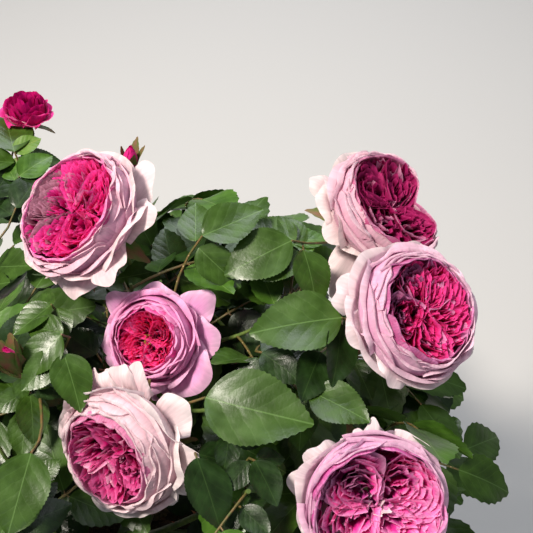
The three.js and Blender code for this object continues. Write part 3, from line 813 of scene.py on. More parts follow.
def add_heart(sheets, place, dice, folds, coarse, reach, faded, eye):
    """The quartered heart: in each fold small petals stand nested round the fold's own middle line."""
    start = dice() * FULL_TURN
    opening = math.pi / folds
    loops = 9 - int(round(4.4 * coarse))

    def petal(middle, opening, half_width, near, far, mid, half, kind=None):
        part = (middle, opening, half_width, near, far, mid, half)
        heart_petal(sheets, place, dice, *part, coarse, reach, faded, kind)

    for fold in range(folds):
        middle = start + fold / folds * FULL_TURN + (dice() - 0.5) * 0.4
        widest = reach * min(math.sin(opening) * 0.9, 0.68) * (0.9 + 0.2 * dice())
        for loop in range(loops):
            inward = (loop + 0.6 * dice()) / loops
            places = (-0.8, 0.75, -0.3, 0.3) if loop < loops - 2 else (-0.5, 0.0, 0.5)
            for mid in places:
                petal(
                    middle + (dice() - 0.5) * 0.24, opening, widest * (1 - inward * 0.92),
                    reach * (0.02 + 0.26 * inward), reach * (1.03 - 0.5 * inward),
                    mid + (dice() - 0.5) * 0.36, 0.24 + 0.2 * dice(),
                )
    # between the folds and along the cup's wall
    for i in range(folds * 5):
        middle = start + (i + dice()) / (folds * 5) * FULL_TURN
        petal(
            middle, 1.2, reach * (0.16 + 0.16 * dice()), reach * (0.55 + 0.2 * dice()),
            reach * (0.93 + 0.1 * dice()), (dice() - 0.5) * 0.6, 0.4 + 0.3 * dice(),
        )
    for i in range(20):
        petal(
            i * GOLDEN_TURN + start, 1.2, reach * (0.06 + 0.1 * dice()), reach * 0.02 * i / 2,
            reach * (0.08 + 0.026 * i + 0.08 * dice()), 0.0, 0.5 + 0.3 * dice(),
            eye if i < 4 else 2 if i < 9 and eye is not None else None,
        )


def heart_petal(
    sheets, place, dice, middle, opening, half_width, near, far, mid, half, coarse, reach, faded, own_kind=None,
):
    """One small petal of the heart, standing along a part of its loop, its top leaning out."""
    v, u = petal_grid(HEART_GRID)
    s = np.clip(mid + u * half, -1, 1)
    along = near + (far - near) * (1 - np.abs(s) ** 2.6)
    bow = np.sign(s) * (1 - (1 - np.abs(s)) ** 2.1)
    limit = np.maximum(along, 0) * math.tan(min(opening, 1.2)) * 0.95 + 0.008
    aside = bow * np.minimum(half_width, limit)
    wave = uneven(dice, u, (2.6, 5.5, 9.0, 14.0), 0.02 + 0.012 * coarse)
    centre = near + (far - near) * 0.45
    flop = (0.05 + 0.2 * dice() ** 1.6 + 0.1 * coarse * dice()) * np.clip((v - 0.5) / 0.5, 0, 1) ** 1.3
    lean = 0.78 + 0.16 * v + flop
    x = centre + (along - centre) * lean + wave * v
    y = aside * lean + wave * v * 0.8 + (dice() - 0.5) * 0.014
    inward = np.minimum(1, reach * 1.05 / (np.hypot(x, y) + 1e-6))
    x, y = x * inward, y * inward
    distance = np.hypot(x, y)
    bowl = 0.358 + 0.05 * np.clip(distance / reach, 0, 1.15) ** 1.6
    rounded = (0.028 + 0.04 * coarse) * np.abs(u) ** 2.6
    rim = bowl - rounded + wave * 0.5 + (dice() - 0.5) * (0.022 + 0.03 * coarse) - flop * 0.1
    height = HEART_FOOT + (rim - HEART_FOOT) * v**0.85
    c, s = math.cos(middle), math.sin(middle)
    points = np.stack([c * x - s * y, s * x + c * y, height], axis=-1)
    kind = 2 if dice() < 0.1 else 3
    # on the heart's shaded side a petal takes the dark fifth colour: painted shade
    if faded is not None:
        spot = points[-1, HEART_GRID[1] // 2, :2] / reach
        if spot @ faded + (dice() - 0.5) * 0.8 > 0.66:
            kind = 4
    if own_kind is not None:
        kind = own_kind
    sheets.add(place(points.reshape(-1, 3)), grid_faces(*HEART_GRID), petal_map(kind, u, v), kind)


def bloom_placer(bloom):
    """Turns points of the bloom's own frame, in diameters, to millimetres in the row frame."""
    base, faces = bloom_foot(bloom)
    axes = frame_of(faces)
    dent = flat_side(axes, bloom.dent)

    def place(points):
        if dent is not None:
            radius = np.linalg.norm(points[:, :2], axis=1) + 1e-9
            off = np.arccos(np.clip(points[:, :2] @ dent / radius, -1, 1))
            dip = DENT_DEPTH * bell(off / DENT_WIDTH) * np.clip((points[:, 2] - 0.1) / 0.15, 0, 1)
            points = points * np.stack([1 - dip, 1 - dip, 1 - dip * 0.3], axis=1)
        return base + (points * bloom.across) @ axes

    return place, axes


def flat_side(axes, way):
    """The side of a bloom, in its own plane, that a direction points to."""
    return None if way is None else unit((axes @ np.array(way, float))[:2])


def full_bloom(bloom):
    """A full rosette: guard petals turned back, a cup of broad petals that lean in, a quartered heart."""
    dice = make_dice(BLOOM_SEEDS, bloom.seed)
    sheets = Sheets()
    place, axes = bloom_placer(bloom)
    turn = dice() * FULL_TURN
    for number, (degrees, reach, half, blunt, *hang) in enumerate(bloom.guards):
        seen = math.radians(degrees)
        way = axes @ (np.array([math.cos(seen), 0, 0]) + SIGHT_UP * math.sin(seen))
        height, hang = 0.11 + 0.05 * (number % 3), sum(hang)
        path = (
            (0.03, 0.02), (0.22, 0.035), (0.39, height * 0.75 - hang * 0.3),
            (reach * 0.88, height - hang * 0.8), (reach, height - 0.02 - hang),
        )
        add_petal(
            sheets, place, dice, 0, GUARD_GRID, math.atan2(way[1], way[0]), math.radians(half * 1.15), path,
            0.46, 0.06, 0.036, 0.02, 0.01, blunt, 0.05,
        )
    # a loose ring of guards where none has a direction of its own, and an upright one
    low = ((0.03, 0.02), (0.2, 0.025), (0.36, 0.06), (0.46, 0.09), (0.5, 0.06))
    scale, rise, blunt, high = bloom.cup
    upright = ((0.03, 0.03), (0.24, 0.045), (0.4, 0.12), (0.461, high * 0.45 + 0.08), (0.468, high))
    rings = (
        (0 if len(bloom.guards) > 3 else 3, 0.0, low, 30, 0.5, 0.02),
        (round(high * 20), 0.6, upright, 39, 0.36, 0.026),
    )
    shift = axes @ SIGHT_UP * rise
    shift[2] = 0

    def cup_place(points):
        return place(points * (scale, scale, 1) + shift * np.clip(points[:, 2:] / 0.1, 0, 1))

    for count, first, path, half, shoulder, loose in rings:
        shape = (shoulder, 0.09, 0.022, 0.045)
        add_ring(sheets, cup_place, dice, 0, count, turn + first, path, half, RING_GRID, shape, 0.09, loose, blunt)
    # each shell's kind, petals, widest half width, half width at its rim, height of its rim, half angle, roll
    shells = (
        (1, 5, 0.455, 0.446, 0.305, 44, 0.036, 0.034), (1, 6, 0.436, 0.42, 0.36, 38, 0.028, 0.028),
        (1, 8, 0.418, 0.396, 0.396, 30, 0.02, 0.022), (1, 9, 0.402, 0.376, 0.418, 27, 0.016, 0.02),
        (2, 10, 0.386, 0.356, 0.432, 25, 0.012, 0.018),
    )
    for number, (kind, count, widest, rim, top, half, roll, loose) in enumerate(shells):
        closing = 1 - (1 - bloom.opening) * (number + 1) / len(shells)
        path = cup_path(widest * (0.4 + 0.6 * closing), rim * closing, top)
        shape = (0.24, 0.055 + 0.008 * number, 0.014, roll)
        first = turn + number * 1.9
        add_ring(sheets, cup_place, dice, kind, count, first, path, half, SHELL_GRID, shape, 0.05, loose)
    # the side of the heart that is painted in shade
    side = flat_side(axes, bloom.faded)
    add_heart(sheets, cup_place, dice, bloom.folds, bloom.coarse, HEART_REACH * bloom.opening, side, bloom.eye)
    return sheets


def small_bloom(bloom):
    """A half-open bloom: a few broad petals round a wound middle that stands up."""
    dice = make_dice(BLOOM_SEEDS, bloom.seed)
    sheets = Sheets()
    place, _ = bloom_placer(bloom)
    # each ring's petals, widest half width, half width and height of its rim, half angle, roll
    rings = (
        (5, 0.42, 0.44, 0.36, 42, 0.05), (5, 0.4, 0.4, 0.48, 40, 0.05), (5, 0.35, 0.33, 0.57, 40, 0.04),
        (4, 0.29, 0.26, 0.63, 48, 0.03), (4, 0.22, 0.19, 0.67, 52, 0.02), (4, 0.15, 0.12, 0.69, 56, 0.01),
    )
    for number, (count, widest, rim, top, half, roll) in enumerate(rings):
        path = ((0.05, 0.03), (widest * 0.6, 0.1), (widest * 0.95, 0.24), (widest, top * 0.72), (rim, top))
        shape = (0.3, 0.05, 0.024, roll)
        # each ring inwards takes a darker row of the set, partly as painted shade in the bloom's middle
        kind, first = min(number, 3), number * 0.8
        add_ring(sheets, place, dice, kind, count, first, path, half, SMALL_GRID, shape, 0.08, 0.025)
    return sheets


# Leaflets


def leaflet_template(teeth, bite):
    """A leaflet in shares of its length: (across, along) points, how far each is out, faces and map.

    Its outline is broad below, ends in a drawn-out point and is sawn into teeth that look forward.
    """
    stations = teeth * 2
    t = (np.arange(stations) + 0.6) / (stations + 0.35)
    width = t**0.66 * (1 - t) ** 0.94
    width = width / width.max()
    columns = (-1.0, -0.55, 0.0, 0.55, 1.0)
    points, out = [(0.0, 0.0)], [0.0]
    for i, (along, half) in enumerate(zip(t, width)):
        peak = i % 2 == 1
        for column in columns:
            rim = abs(column) == 1.0
            more = (bite if peak else -bite * 0.5) if rim else 0.0
            points.append((column * (half + more), along + (bite * 0.35 if rim and peak else 0.0)))
            out.append(abs(column))
    points.append((0.0, 1.0))
    out.append(0.0)
    wide = len(columns)
    faces = [(0, 2 + column, 1 + column) for column in range(wide - 1)]
    for row in range(stations - 1):
        low = 1 + row * wide
        for column in range(wide - 1):
            faces.append((low + column, low + column + 1, low + wide + column + 1, low + wide + column))
    last = 1 + (stations - 1) * wide
    faces += [(last + column, last + column + 1, len(points) - 1) for column in range(wide - 1)]
    points = np.array(points)
    maps = np.stack([0.5 + 0.46 * points[:, 0], 0.02 + 0.96 * np.clip(points[:, 1], 0, 1)], axis=1)
    return points, np.array(out), faces, maps


PLAIN_LEAFLET = leaflet_template(7, 0.045)
FINE_LEAFLET = leaflet_template(19, 0.022)


def add_leaflet(sheets, base, along, normal, length, dice, slot, template, width=0.66):
    """One leaflet, folded along its midrib, curled, twisted and bent each in its own measure."""
    points, out, faces, maps = template
    across = np.cross(along, normal)
    fold = 0.08 + 0.2 * dice()
    curl = 0.02 + 0.2 * dice()
    twist = (dice() - 0.5) * 0.3
    bend = (dice() - 0.5) * 0.12
    phase = dice() * FULL_TURN
    x = points[:, 0] * width / 2 + bend * points[:, 1] ** 2
    y = points[:, 1]
    z = fold * np.abs(points[:, 0]) * width / 2 - curl * y**2 + twist * x * y
    z = z + 0.02 * out**2 * np.sin(y * 8 + phase + np.sign(points[:, 0]))
    placed = base + length * (x[:, None] * across + y[:, None] * along + z[:, None] * normal)
    sheets.add(placed, faces, maps, slot)


def add_compound_leaf(sheets, stalks, leaf, number, blooms):
    """A leaf of five leaflets, or three on a small one, on its curved stalk."""
    foot, along, normal, size, share, chance = leaf
    dice = make_dice(LEAF_SEEDS, number)
    reach = LEAF_REACH * size
    end = foot + along * reach - UP * reach * (0.04 + 0.14 * dice())
    stalk = Line(foot, foot + along * reach * 0.5 + normal * reach * 0.07, end)
    end_way = stalk.along(1)
    end_length = END_LEAFLET * size * (0.92 + 0.16 * dice())
    for ahead, margin in ((0, LEAF_MARGIN), (0.75, LEAF_MARGIN), (1, 0)):
        if kept_clear(end + end_way * end_length * ahead, blooms, margin):
            return
    stalks.append((stalk, 1.15 * size, 0.7 * size))
    tone = leaf_tone(end, share, chance)
    add_leaflet(sheets, end, end_way, settled(normal, end_way), end_length, dice, tone, PLAIN_LEAFLET)
    for place, part in LEAFLET_PAIRS if size > SMALL_LEAF else SINGLE_PAIR:
        way, centre = stalk.along(place), stalk.at(place)
        for side in (-1, 1):
            across = np.cross(way, normal) * side
            spread = math.radians(58 + 16 * dice())
            out = unit(swung(way, across, spread) - UP * 0.12 * dice())
            base = centre + out * 3
            length = end_length * part * (0.92 + 0.16 * dice())
            if kept_clear(base + out * length * 0.75, blooms, LEAF_MARGIN):
                continue
            tilt = settled(normal + across * (dice() - 0.3) * 0.5 + way * (dice() - 0.5) * 0.3, out)
            add_leaflet(sheets, base, out, tilt, length, dice, tone, PLAIN_LEAFLET)
            stalks.append((Line(centre, base), 0.6, 0.5))


# Materials


def new_material(name):
    """An empty material and its tree."""
    material = bpy.data.materials.new(name)
    material.use_nodes = True
    material.node_tree.nodes.clear()
    return material, material.node_tree


def calc(tree, operation, *values):
    """The outcome of a sum of numbers and links."""
    return node(tree, "ShaderNodeMath", dict(enumerate(values)), operation=operation).outputs[0]


def rescaled(tree, value, low, high, to_low, to_high):
    """A value's part from low to high, laid over the range from to_low to to_high."""
    ends = {"Value": value, "From Min": low, "From Max": high, "To Min": to_low, "To Max": to_high}
    return node(tree, "ShaderNodeMapRange", ends).outputs["Result"]


def map_place(tree):
    """Where a point lies in its sheet's map."""
    return node(tree, "ShaderNodeUVMap", uv_map="OFBake").outputs["UV"]


def own_place(tree):
    """Where a point lies in its piece."""
    return node(tree, "ShaderNodeTexCoord").outputs["Object"]


def scaled(tree, place, scale, location=(0, 0, 0)):
    """A place moved and stretched."""
    moved = node(tree, "ShaderNodeMapping", {"Vector": place, "Location": location, "Scale": scale})
    return moved.outputs["Vector"]


def noise(tree, place, scale, detail, rough=0.5):
    """Cloudy noise from 0 to 1."""
    kind = {"Vector": place, "Scale": scale, "Detail": detail, "Roughness": rough}
    return node(tree, "ShaderNodeTexNoise", kind).outputs["Fac"]


def ramp(tree, share, *stops):
    """A colour from stops of (place, colour)."""
    return node(tree, "ShaderNodeValToRGB", {"Fac": share}, stops=stops).outputs["Color"]


def mixed(tree, share, first, second, blend="MIX"):
    """Two colours mixed."""
    values = {"Factor": share, 6: first, 7: second}
    return node(tree, "ShaderNodeMix", values, data_type="RGBA", blend_type=blend).outputs[2]


def bumps(tree, height, strength, distance):
    """The look of a relief."""
    return node(tree, "ShaderNodeBump", {"Height": height, "Strength": strength, "Distance": distance}).outputs[0]


def coat(tree, colour, rough, **more):
    """A plain surface. Names of more of its inputs are written with _ for a space."""
    values = {"Base Color": colour, "Roughness": rough, **{key.replace("_", " "): more[key] for key in more}}
    return node(tree, "ShaderNodeBsdfPrincipled", values).outputs[0]


def lit_through(tree, surface, share, **glow):
    """A surface with a share of the light coming through it."""
    back = node(tree, "ShaderNodeBsdfTranslucent", glow).outputs[0]
    return node(tree, "ShaderNodeMixShader", {0: share, 1: surface, 2: back}).outputs[0]


def finished(material, surface):
    """The material with its surface in place."""
    node(material.node_tree, "ShaderNodeOutputMaterial", {"Surface": surface})
    return material


def petal_material(name, kind, foot, middle, rim):
    """Rose petal: velvety cells that scatter light, deeper colour at the foot, partly painted shade, and fine veins
    to the rim.
    """
    material, tree = new_material(name)
    column, row = ATLAS_CELLS[kind]
    own = scaled(tree, map_place(tree), (1 / ATLAS_WIDE, 1 / ATLAS_HIGH, 1), (-column, -row, 0))
    up = node(tree, "ShaderNodeSeparateXYZ", {"Vector": own}).outputs["Y"]
    veins = noise(tree, scaled(tree, own, (22, 2.6, 1)), 1.0, 3.0)
    shift = calc(tree, "MULTIPLY_ADD", noise(tree, own, 4.5, 2.0), 0.28, -0.14)
    # the darker foot is partly the petal's own colour, partly painted shade deep in the bloom
    colour = ramp(tree, calc(tree, "ADD", up, shift), (0.12, foot), (0.6, middle), (0.97, rim))
    outer = kind < 2
    depth = rescaled(tree, veins, 0.3, 0.7, *((0.82, 1.08) if outer else (0.72, 1.25)))
    shaded = mixed(tree, 1.0, colour, depth, "MULTIPLY")
    relief = bumps(tree, veins, 0.25, 0.0006)
    velvet = coat(
        tree, shaded, 0.55, Normal=relief, Sheen_Weight=0.2 if outer else 0.03, Sheen_Roughness=0.4,
        Specular_IOR_Level=0.3 if outer else 0.06,
    )
    return finished(material, lit_through(tree, velvet, 0.34 if outer else 0.42, Color=shaded, Normal=relief))


def leaf_material(name, blade, vein, gloss):
    """Rose leaf: a waxy skin, pale midrib, quilted between the side veins and finely netted.

    The quilting and the net break the sky's glare on the wax into short bright strokes.
    """
    material, tree = new_material(name)
    uv = map_place(tree)
    parts = node(tree, "ShaderNodeSeparateXYZ", {"Vector": uv}).outputs
    aside = calc(tree, "ABSOLUTE", calc(tree, "SUBTRACT", parts["X"], 0.5))
    rise = calc(tree, "MULTIPLY_ADD", aside, -0.75, parts["Y"])
    wander = calc(tree, "MULTIPLY_ADD", noise(tree, uv, 7.0, 1.0), 0.06, rise)
    # six pairs of side veins
    saw = calc(tree, "PINGPONG", calc(tree, "MULTIPLY", wander, 12.0), 1.0)
    side = rescaled(tree, saw, 0.0, 0.14, 0.09, 0.0)
    mid = rescaled(tree, aside, 0.003, 0.014, 0.42, 0.0)
    blotch = noise(tree, uv, 3.0, 2.0)
    skin = ramp(tree, blotch, (0.36, blade[0]), (0.64, blade[1]))
    colour = mixed(tree, calc(tree, "MAXIMUM", side, mid), skin, linear(vein))
    quilt = calc(tree, "SINE", calc(tree, "MULTIPLY", saw, math.pi / 2))
    net = noise(tree, scaled(tree, uv, (17, 30, 1)), 1.0, 2.0)
    relief = bumps(tree, calc(tree, "MULTIPLY_ADD", net, 1.3, quilt), 0.16, 0.0006)
    rough = rescaled(tree, blotch, 0.35, 0.65, gloss - 0.04, gloss + 0.1)
    wax = coat(tree, colour, rough, Normal=relief, IOR=1.42)
    return finished(material, lit_through(tree, wax, 0.1, Color=colour))


def bark_material(name, dark, light, scale, rough, depth):
    """Bark: stretched streaks along the limb with small pale breathing pores."""
    material, tree = new_material(name)
    place = own_place(tree)
    streaks = noise(tree, scaled(tree, place, (scale, scale, scale * 0.3)), 1.0, 5.0, 0.6)
    pores = node(tree, "ShaderNodeTexVoronoi", {"Vector": place, "Scale": scale * 0.7}).outputs["Distance"]
    colour = ramp(tree, streaks, (0.32, dark), (0.68, light))
    spotted = mixed(tree, rescaled(tree, pores, 0.06, 0.16, 1.0, 0.0), colour, linear("#a08d66"))
    return finished(material, coat(tree, spotted, rough, Normal=bumps(tree, streaks, depth, 0.001)))


def pot_material(colour):
    """Injection-moulded polypropylene: fine pebbled skin, scuffs that show paler, and dried splashes."""
    material, tree = new_material("moulded_polypropylene")
    pale = [0.6 * part + 0.05 for part in colour[:3]] + [1.0]
    place = own_place(tree)
    wear = noise(tree, place, 14.0, 6.0, 0.65)
    scuff = noise(tree, scaled(tree, place, (6, 6, 60)), 2.0, 5.0)
    skin = ramp(tree, wear, (0.3, darker(colour, 0.65)), (0.55, tuple(colour)), (0.78, pale))
    worn = mixed(tree, rescaled(tree, scuff, 0.62, 0.75, 0.0, 0.35), skin, linear("#6f8096"))
    pebbles = bumps(tree, noise(tree, place, 900.0, 2.0), 0.2, 0.0003)
    rough = rescaled(tree, wear, 0.3, 0.75, 0.38, 0.62)
    return finished(material, coat(tree, worn, rough, Normal=pebbles, IOR=1.49))


def compost_material(name, dark, light):
    """Moist peat compost with bark: matt brown crumbs, some paler fibres."""
    material, tree = new_material(name)
    crumbs = noise(tree, own_place(tree), 180.0, 5.0, 0.7)
    colour = ramp(tree, crumbs, (0.3, dark), (0.7, light))
    return finished(material, coat(tree, colour, 0.9, Normal=bumps(tree, crumbs, 0.6, 0.002)))


# Geometry nodes


def shape_tree(name, *sockets):
    """A modifier's node tree: the tree, its input node, and its own sockets by name and kind."""
    tree = bpy.data.node_groups.new(name, "GeometryNodeTree")
    tree.is_modifier = True
    face = tree.interface
    face.new_socket("Geometry", in_out="INPUT", socket_type="NodeSocketGeometry")
    made = [face.new_socket(label, in_out="INPUT", socket_type="NodeSocket" + kind) for label, kind in sockets]
    face.new_socket("Geometry", in_out="OUTPUT", socket_type="NodeSocketGeometry")
    return tree, node(tree, "NodeGroupInput").outputs, made


def layer_of(tree, name, kind):
    """The numbers that a mesh carries under a name."""
    return node(tree, "GeometryNodeInputNamedAttribute", {"Name": name}, data_type=kind).outputs["Attribute"]


def coated(tree, shapes, finish):
    """Ends a node tree with real shapes in one finish."""
    whole = node(tree, "GeometryNodeRealizeInstances", {"Geometry": shapes}).outputs["Geometry"]
    skin = node(tree, "GeometryNodeSetMaterial", {"Geometry": whole, "Material": finish}).outputs["Geometry"]
    node(tree, "NodeGroupOutput", {"Geometry": skin})


def limb_tree():
    """Tubes along lines, as thick at each point as its own half width says."""
    tree, given, sockets = shape_tree("Limbs along lines", ("Sides", "Int"), ("Finish", "Material"))
    sockets[0].default_value, sockets[0].min_value = 8, 3
    curves = node(tree, "GeometryNodeMeshToCurve", {"Mesh": given["Geometry"]})
    ring = node(tree, "GeometryNodeCurvePrimitiveCircle", {"Resolution": given["Sides"], "Radius": 1.0})
    tubes = node(
        tree, "GeometryNodeCurveToMesh",
        {"Curve": curves.outputs["Curve"], "Profile Curve": ring.outputs["Curve"],
         "Scale": layer_of(tree, "half_width", "FLOAT"), "Fill Caps": True},
    )
    smooth = node(tree, "GeometryNodeSetShadeSmooth", {"Geometry": tubes.outputs["Mesh"], "Shade Smooth": True})
    coated(tree, smooth.outputs["Geometry"], given["Finish"])
    return tree, [socket.identifier for socket in sockets]


def scatter_tree():
    """Copies of one shape on points, turned and sized by each point's own numbers."""
    tree, given, sockets = shape_tree("Shapes on points", ("Shape", "Object"), ("Finish", "Material"))
    info = node(tree, "GeometryNodeObjectInfo", {"Object": given["Shape"]})
    turn = layer_of(tree, "turn", "FLOAT_VECTOR")
    rotation = node(tree, "FunctionNodeEulerToRotation", {"Euler": turn}).outputs["Rotation"]
    points = node(tree, "GeometryNodeMeshToPoints", {"Mesh": given["Geometry"]})
    copies = node(
        tree, "GeometryNodeInstanceOnPoints",
        {"Points": points.outputs["Points"], "Instance": info.outputs["Geometry"], "Rotation": rotation,
         "Scale": layer_of(tree, "size", "FLOAT_VECTOR")},
    )
    coated(tree, copies.outputs["Instances"], given["Finish"])
    return tree, [socket.identifier for socket in sockets]


def grown_piece(name, base_mesh, tree, values):
    """Runs a node tree on a mesh and keeps its result as a plain mesh piece."""
    seed_object = linked(name + "_seed", base_mesh)
    modifier = seed_object.modifiers.new("grow", "NODES")
    modifier.node_group = tree
    for identifier, value in values.items():
        modifier[identifier] = value
    mesh = with_modifiers(seed_object)
    mesh.name = name
    for slot in reversed(range(len(mesh.materials))):
        if mesh.materials[slot] is None:
            mesh.materials.pop(index=slot)
    bpy.data.objects.remove(seed_object)
    return linked(name, mesh)


def limbs(name, lines, material, sides, steps):
    """Lines as tubes: lines is [(Line, radius at the foot, radius at the tip)]."""
    points, edges, widths = [], [], []
    for line, foot, tip in lines:
        first = len(points)
        for step in range(steps + 1):
            share = step / steps
            points.append(line.at(share) * MM)
            widths.append((foot + (tip - foot) * share) * MM)
        edges.extend((first + i, first + i + 1) for i in range(steps))
    mesh = bpy.data.meshes.new(name)
    mesh.from_pydata(points, edges, [])
    mesh.attributes.new("half_width", "FLOAT", "POINT").data.foreach_set("value", widths)
    tree, inputs = limb_tree()
    return grown_piece(name, mesh, tree, dict(zip(inputs, (sides, material))))


def scattered(name, shape_points, shape_faces, places, turns, sizes, material):
    """One small shape copied to many places."""
    shape_mesh = bpy.data.meshes.new(name + "_shape")
    shape_mesh.from_pydata(np.asarray(shape_points) * MM, [], shape_faces)
    shape = linked(name + "_shape", shape_mesh)
    mesh = bpy.data.meshes.new(name)
    mesh.from_pydata(np.asarray(places) * MM, [], [])
    for key, values in (("turn", turns), ("size", sizes)):
        layer = mesh.attributes.new(key, "FLOAT_VECTOR", "POINT")
        layer.data.foreach_set("vector", np.asarray(values, np.float32).ravel())
    tree, inputs = scatter_tree()
    piece = grown_piece(name, mesh, tree, dict(zip(inputs, (shape, material))))
    bpy.data.objects.remove(shape)
    return piece


# The bush's plan


PLAN = {}


def growth():
    """The whole bush by its rule, worked out once."""
    if not PLAN:
        hubs = make_hubs()
        tips = make_tips()
        blooms = [(*bloom_foot(bloom), bloom.across) for bloom in BLOOMS.values()]
        PLAN.update(hubs=hubs, tips=tips, shoots=make_shoots(hubs, tips), blooms=blooms)
    return PLAN


def pot_outside(height):
    """The pot's outer radius at a height below its rim."""
    return POT_BASE_RADIUS + (POT_RIM_RADIUS - POT_RIM_FLARE - POT_BASE_RADIUS) / POT_HEIGHT * height


def band_faces(rows, steps, first=0):
    """Faces between closed rows of points."""
    faces = []
    for row in range(rows - 1):
        low = first + row * steps
        for step in range(steps):
            a, b = low + step, low + (step + 1) % steps
            faces.append((a, b, b + steps, a + steps))
    return faces


def drilled(piece, holes, low, high, sides=24):
    """Cuts upright round holes through a piece. holes is [(x, y, radius)] in millimetres."""
    points, faces = [], []
    for x, y, radius in holes:
        first = len(points)
        for height in (low, high):
            for aside, ahead, up in (around(radius, turn, height) for turn in turns_in(sides)):
                points.append((x + aside, y + ahead, up))
        faces.append([first + step for step in reversed(range(sides))])
        faces.append([first + sides + step for step in range(sides)])
        faces += band_faces(2, sides, first)
    drill = piece_from("drill", points, faces, [])
    cut = piece.modifiers.new("drill", "BOOLEAN")
    cut.operation, cut.solver, cut.object = "DIFFERENCE", "EXACT", drill
    mesh = with_modifiers(piece)
    piece.modifiers.clear()
    piece.data = mesh
    bpy.data.objects.remove(drill)
    mesh.set_sharp_from_angle(angle=math.radians(40))


def turned_mesh(name, profile, steps, materials, relief=None):
    """A turned shape from (radius, height) points, from the axis round to the axis."""
    points = []
    for radius, height in profile:
        for turn in turns_in(steps):
            points.append(around(radius + (relief(height, turn) if relief and radius > 0 else 0), turn, height))
    piece = piece_from(name, points, band_faces(len(profile), steps), materials)
    weld(piece)
    return piece


def weld(piece):
    """Merges points that coincide, such as those on the axis, and turns all faces outwards."""
    made = bmesh.new()
    made.from_mesh(piece.data)
    bmesh.ops.remove_doubles(made, verts=made.verts, dist=1e-6)
    bmesh.ops.recalc_face_normals(made, faces=made.faces)
    made.to_mesh(piece.data)
    made.free()


class RoseBushSettings(bpy.types.PropertyGroup):
    leaf_spacing: FloatProperty(
        name="Leaf Spacing", description="Distance from one leaf to the next along a shoot",
        default=0.027, min=0.015, max=0.06, unit="LENGTH", subtype="DISTANCE",
    )
    prickle_spacing: FloatProperty(
        name="Prickle Spacing", description="Distance between prickles on a cane",
        default=0.017, min=0.008, max=0.06, unit="LENGTH", subtype="DISTANCE",
    )
    crumbs: IntProperty(
        name="Crumbs", description="Number of bark crumbs on the compost", default=1500, min=0, max=4000,
    )
    pot_colour: FloatVectorProperty(
        name="Pot", description="Colour of the moulded pot", subtype="COLOR", size=4, min=0, max=1,
        default=linear("#1d3559"),
    )
    mature_leaf: FloatVectorProperty(
        name="Mature Leaf", description="Colour of the full-grown leaves", subtype="COLOR", size=4,
        min=0, max=1, default=linear("#365216"),
    )


class ROSEBUSH_OT_pot(bpy.types.Operator):
    """Make the moulded pot with its rolled rim, its two grooves and the drain holes in its base"""

    bl_idname = "rose_bush.pot"
    bl_label = "Pot"

    def execute(self, context):
        outer = pot_outside
        rim_foot = POT_HEIGHT - POT_RIM_DROP
        profile = [(0, 0), (POT_BASE_RADIUS - 2.4, 0), (POT_BASE_RADIUS - 0.7, 0.6), (outer(2), 2)]
        for height in np.arange(6, rim_foot - 4, 4):
            grooves = sum(math.exp(-(((height - groove) / 2.5) ** 2)) for groove in POT_GROOVES)
            profile.append((outer(height) - 0.5 * grooves, height))
        profile += [
            (outer(rim_foot), rim_foot - 0.6), (outer(rim_foot) + 1.5, rim_foot),
            (POT_RIM_RADIUS - 1.6, rim_foot + 0.2), (POT_RIM_RADIUS - 0.4, rim_foot + 1.4),
            (POT_RIM_RADIUS - 0.2, rim_foot + 5), (POT_RIM_RADIUS - 0.5, rim_foot + 8),
            (POT_RIM_RADIUS - 0.3, POT_HEIGHT - 4), (POT_RIM_RADIUS, POT_HEIGHT - 1.6),
            (POT_RIM_RADIUS - 0.6, POT_HEIGHT - 0.4), (POT_RIM_RADIUS - 2, POT_HEIGHT),
            (POT_RIM_RADIUS - 4, POT_HEIGHT - 0.4), (outer(POT_HEIGHT) - POT_WALL, POT_HEIGHT - 2),
            (outer(POT_FLOOR + 3) - POT_WALL, POT_FLOOR + 3), (outer(POT_FLOOR) - POT_WALL - 2, POT_FLOOR),
            (0, POT_FLOOR),
        ]
        moulded = pot_material(context.scene.rose_bush.pot_colour)
        piece = turned_mesh("pot_shell", profile, steps=160, materials=[moulded])
        holes = [around(DRAIN_RING, turn, DRAIN_RADIUS) for turn in turns_in(DRAIN_HOLES)]
        drilled(piece, holes, -2, POT_FLOOR + 2)
        hand_over(piece, ["pot"])
        return {"FINISHED"}


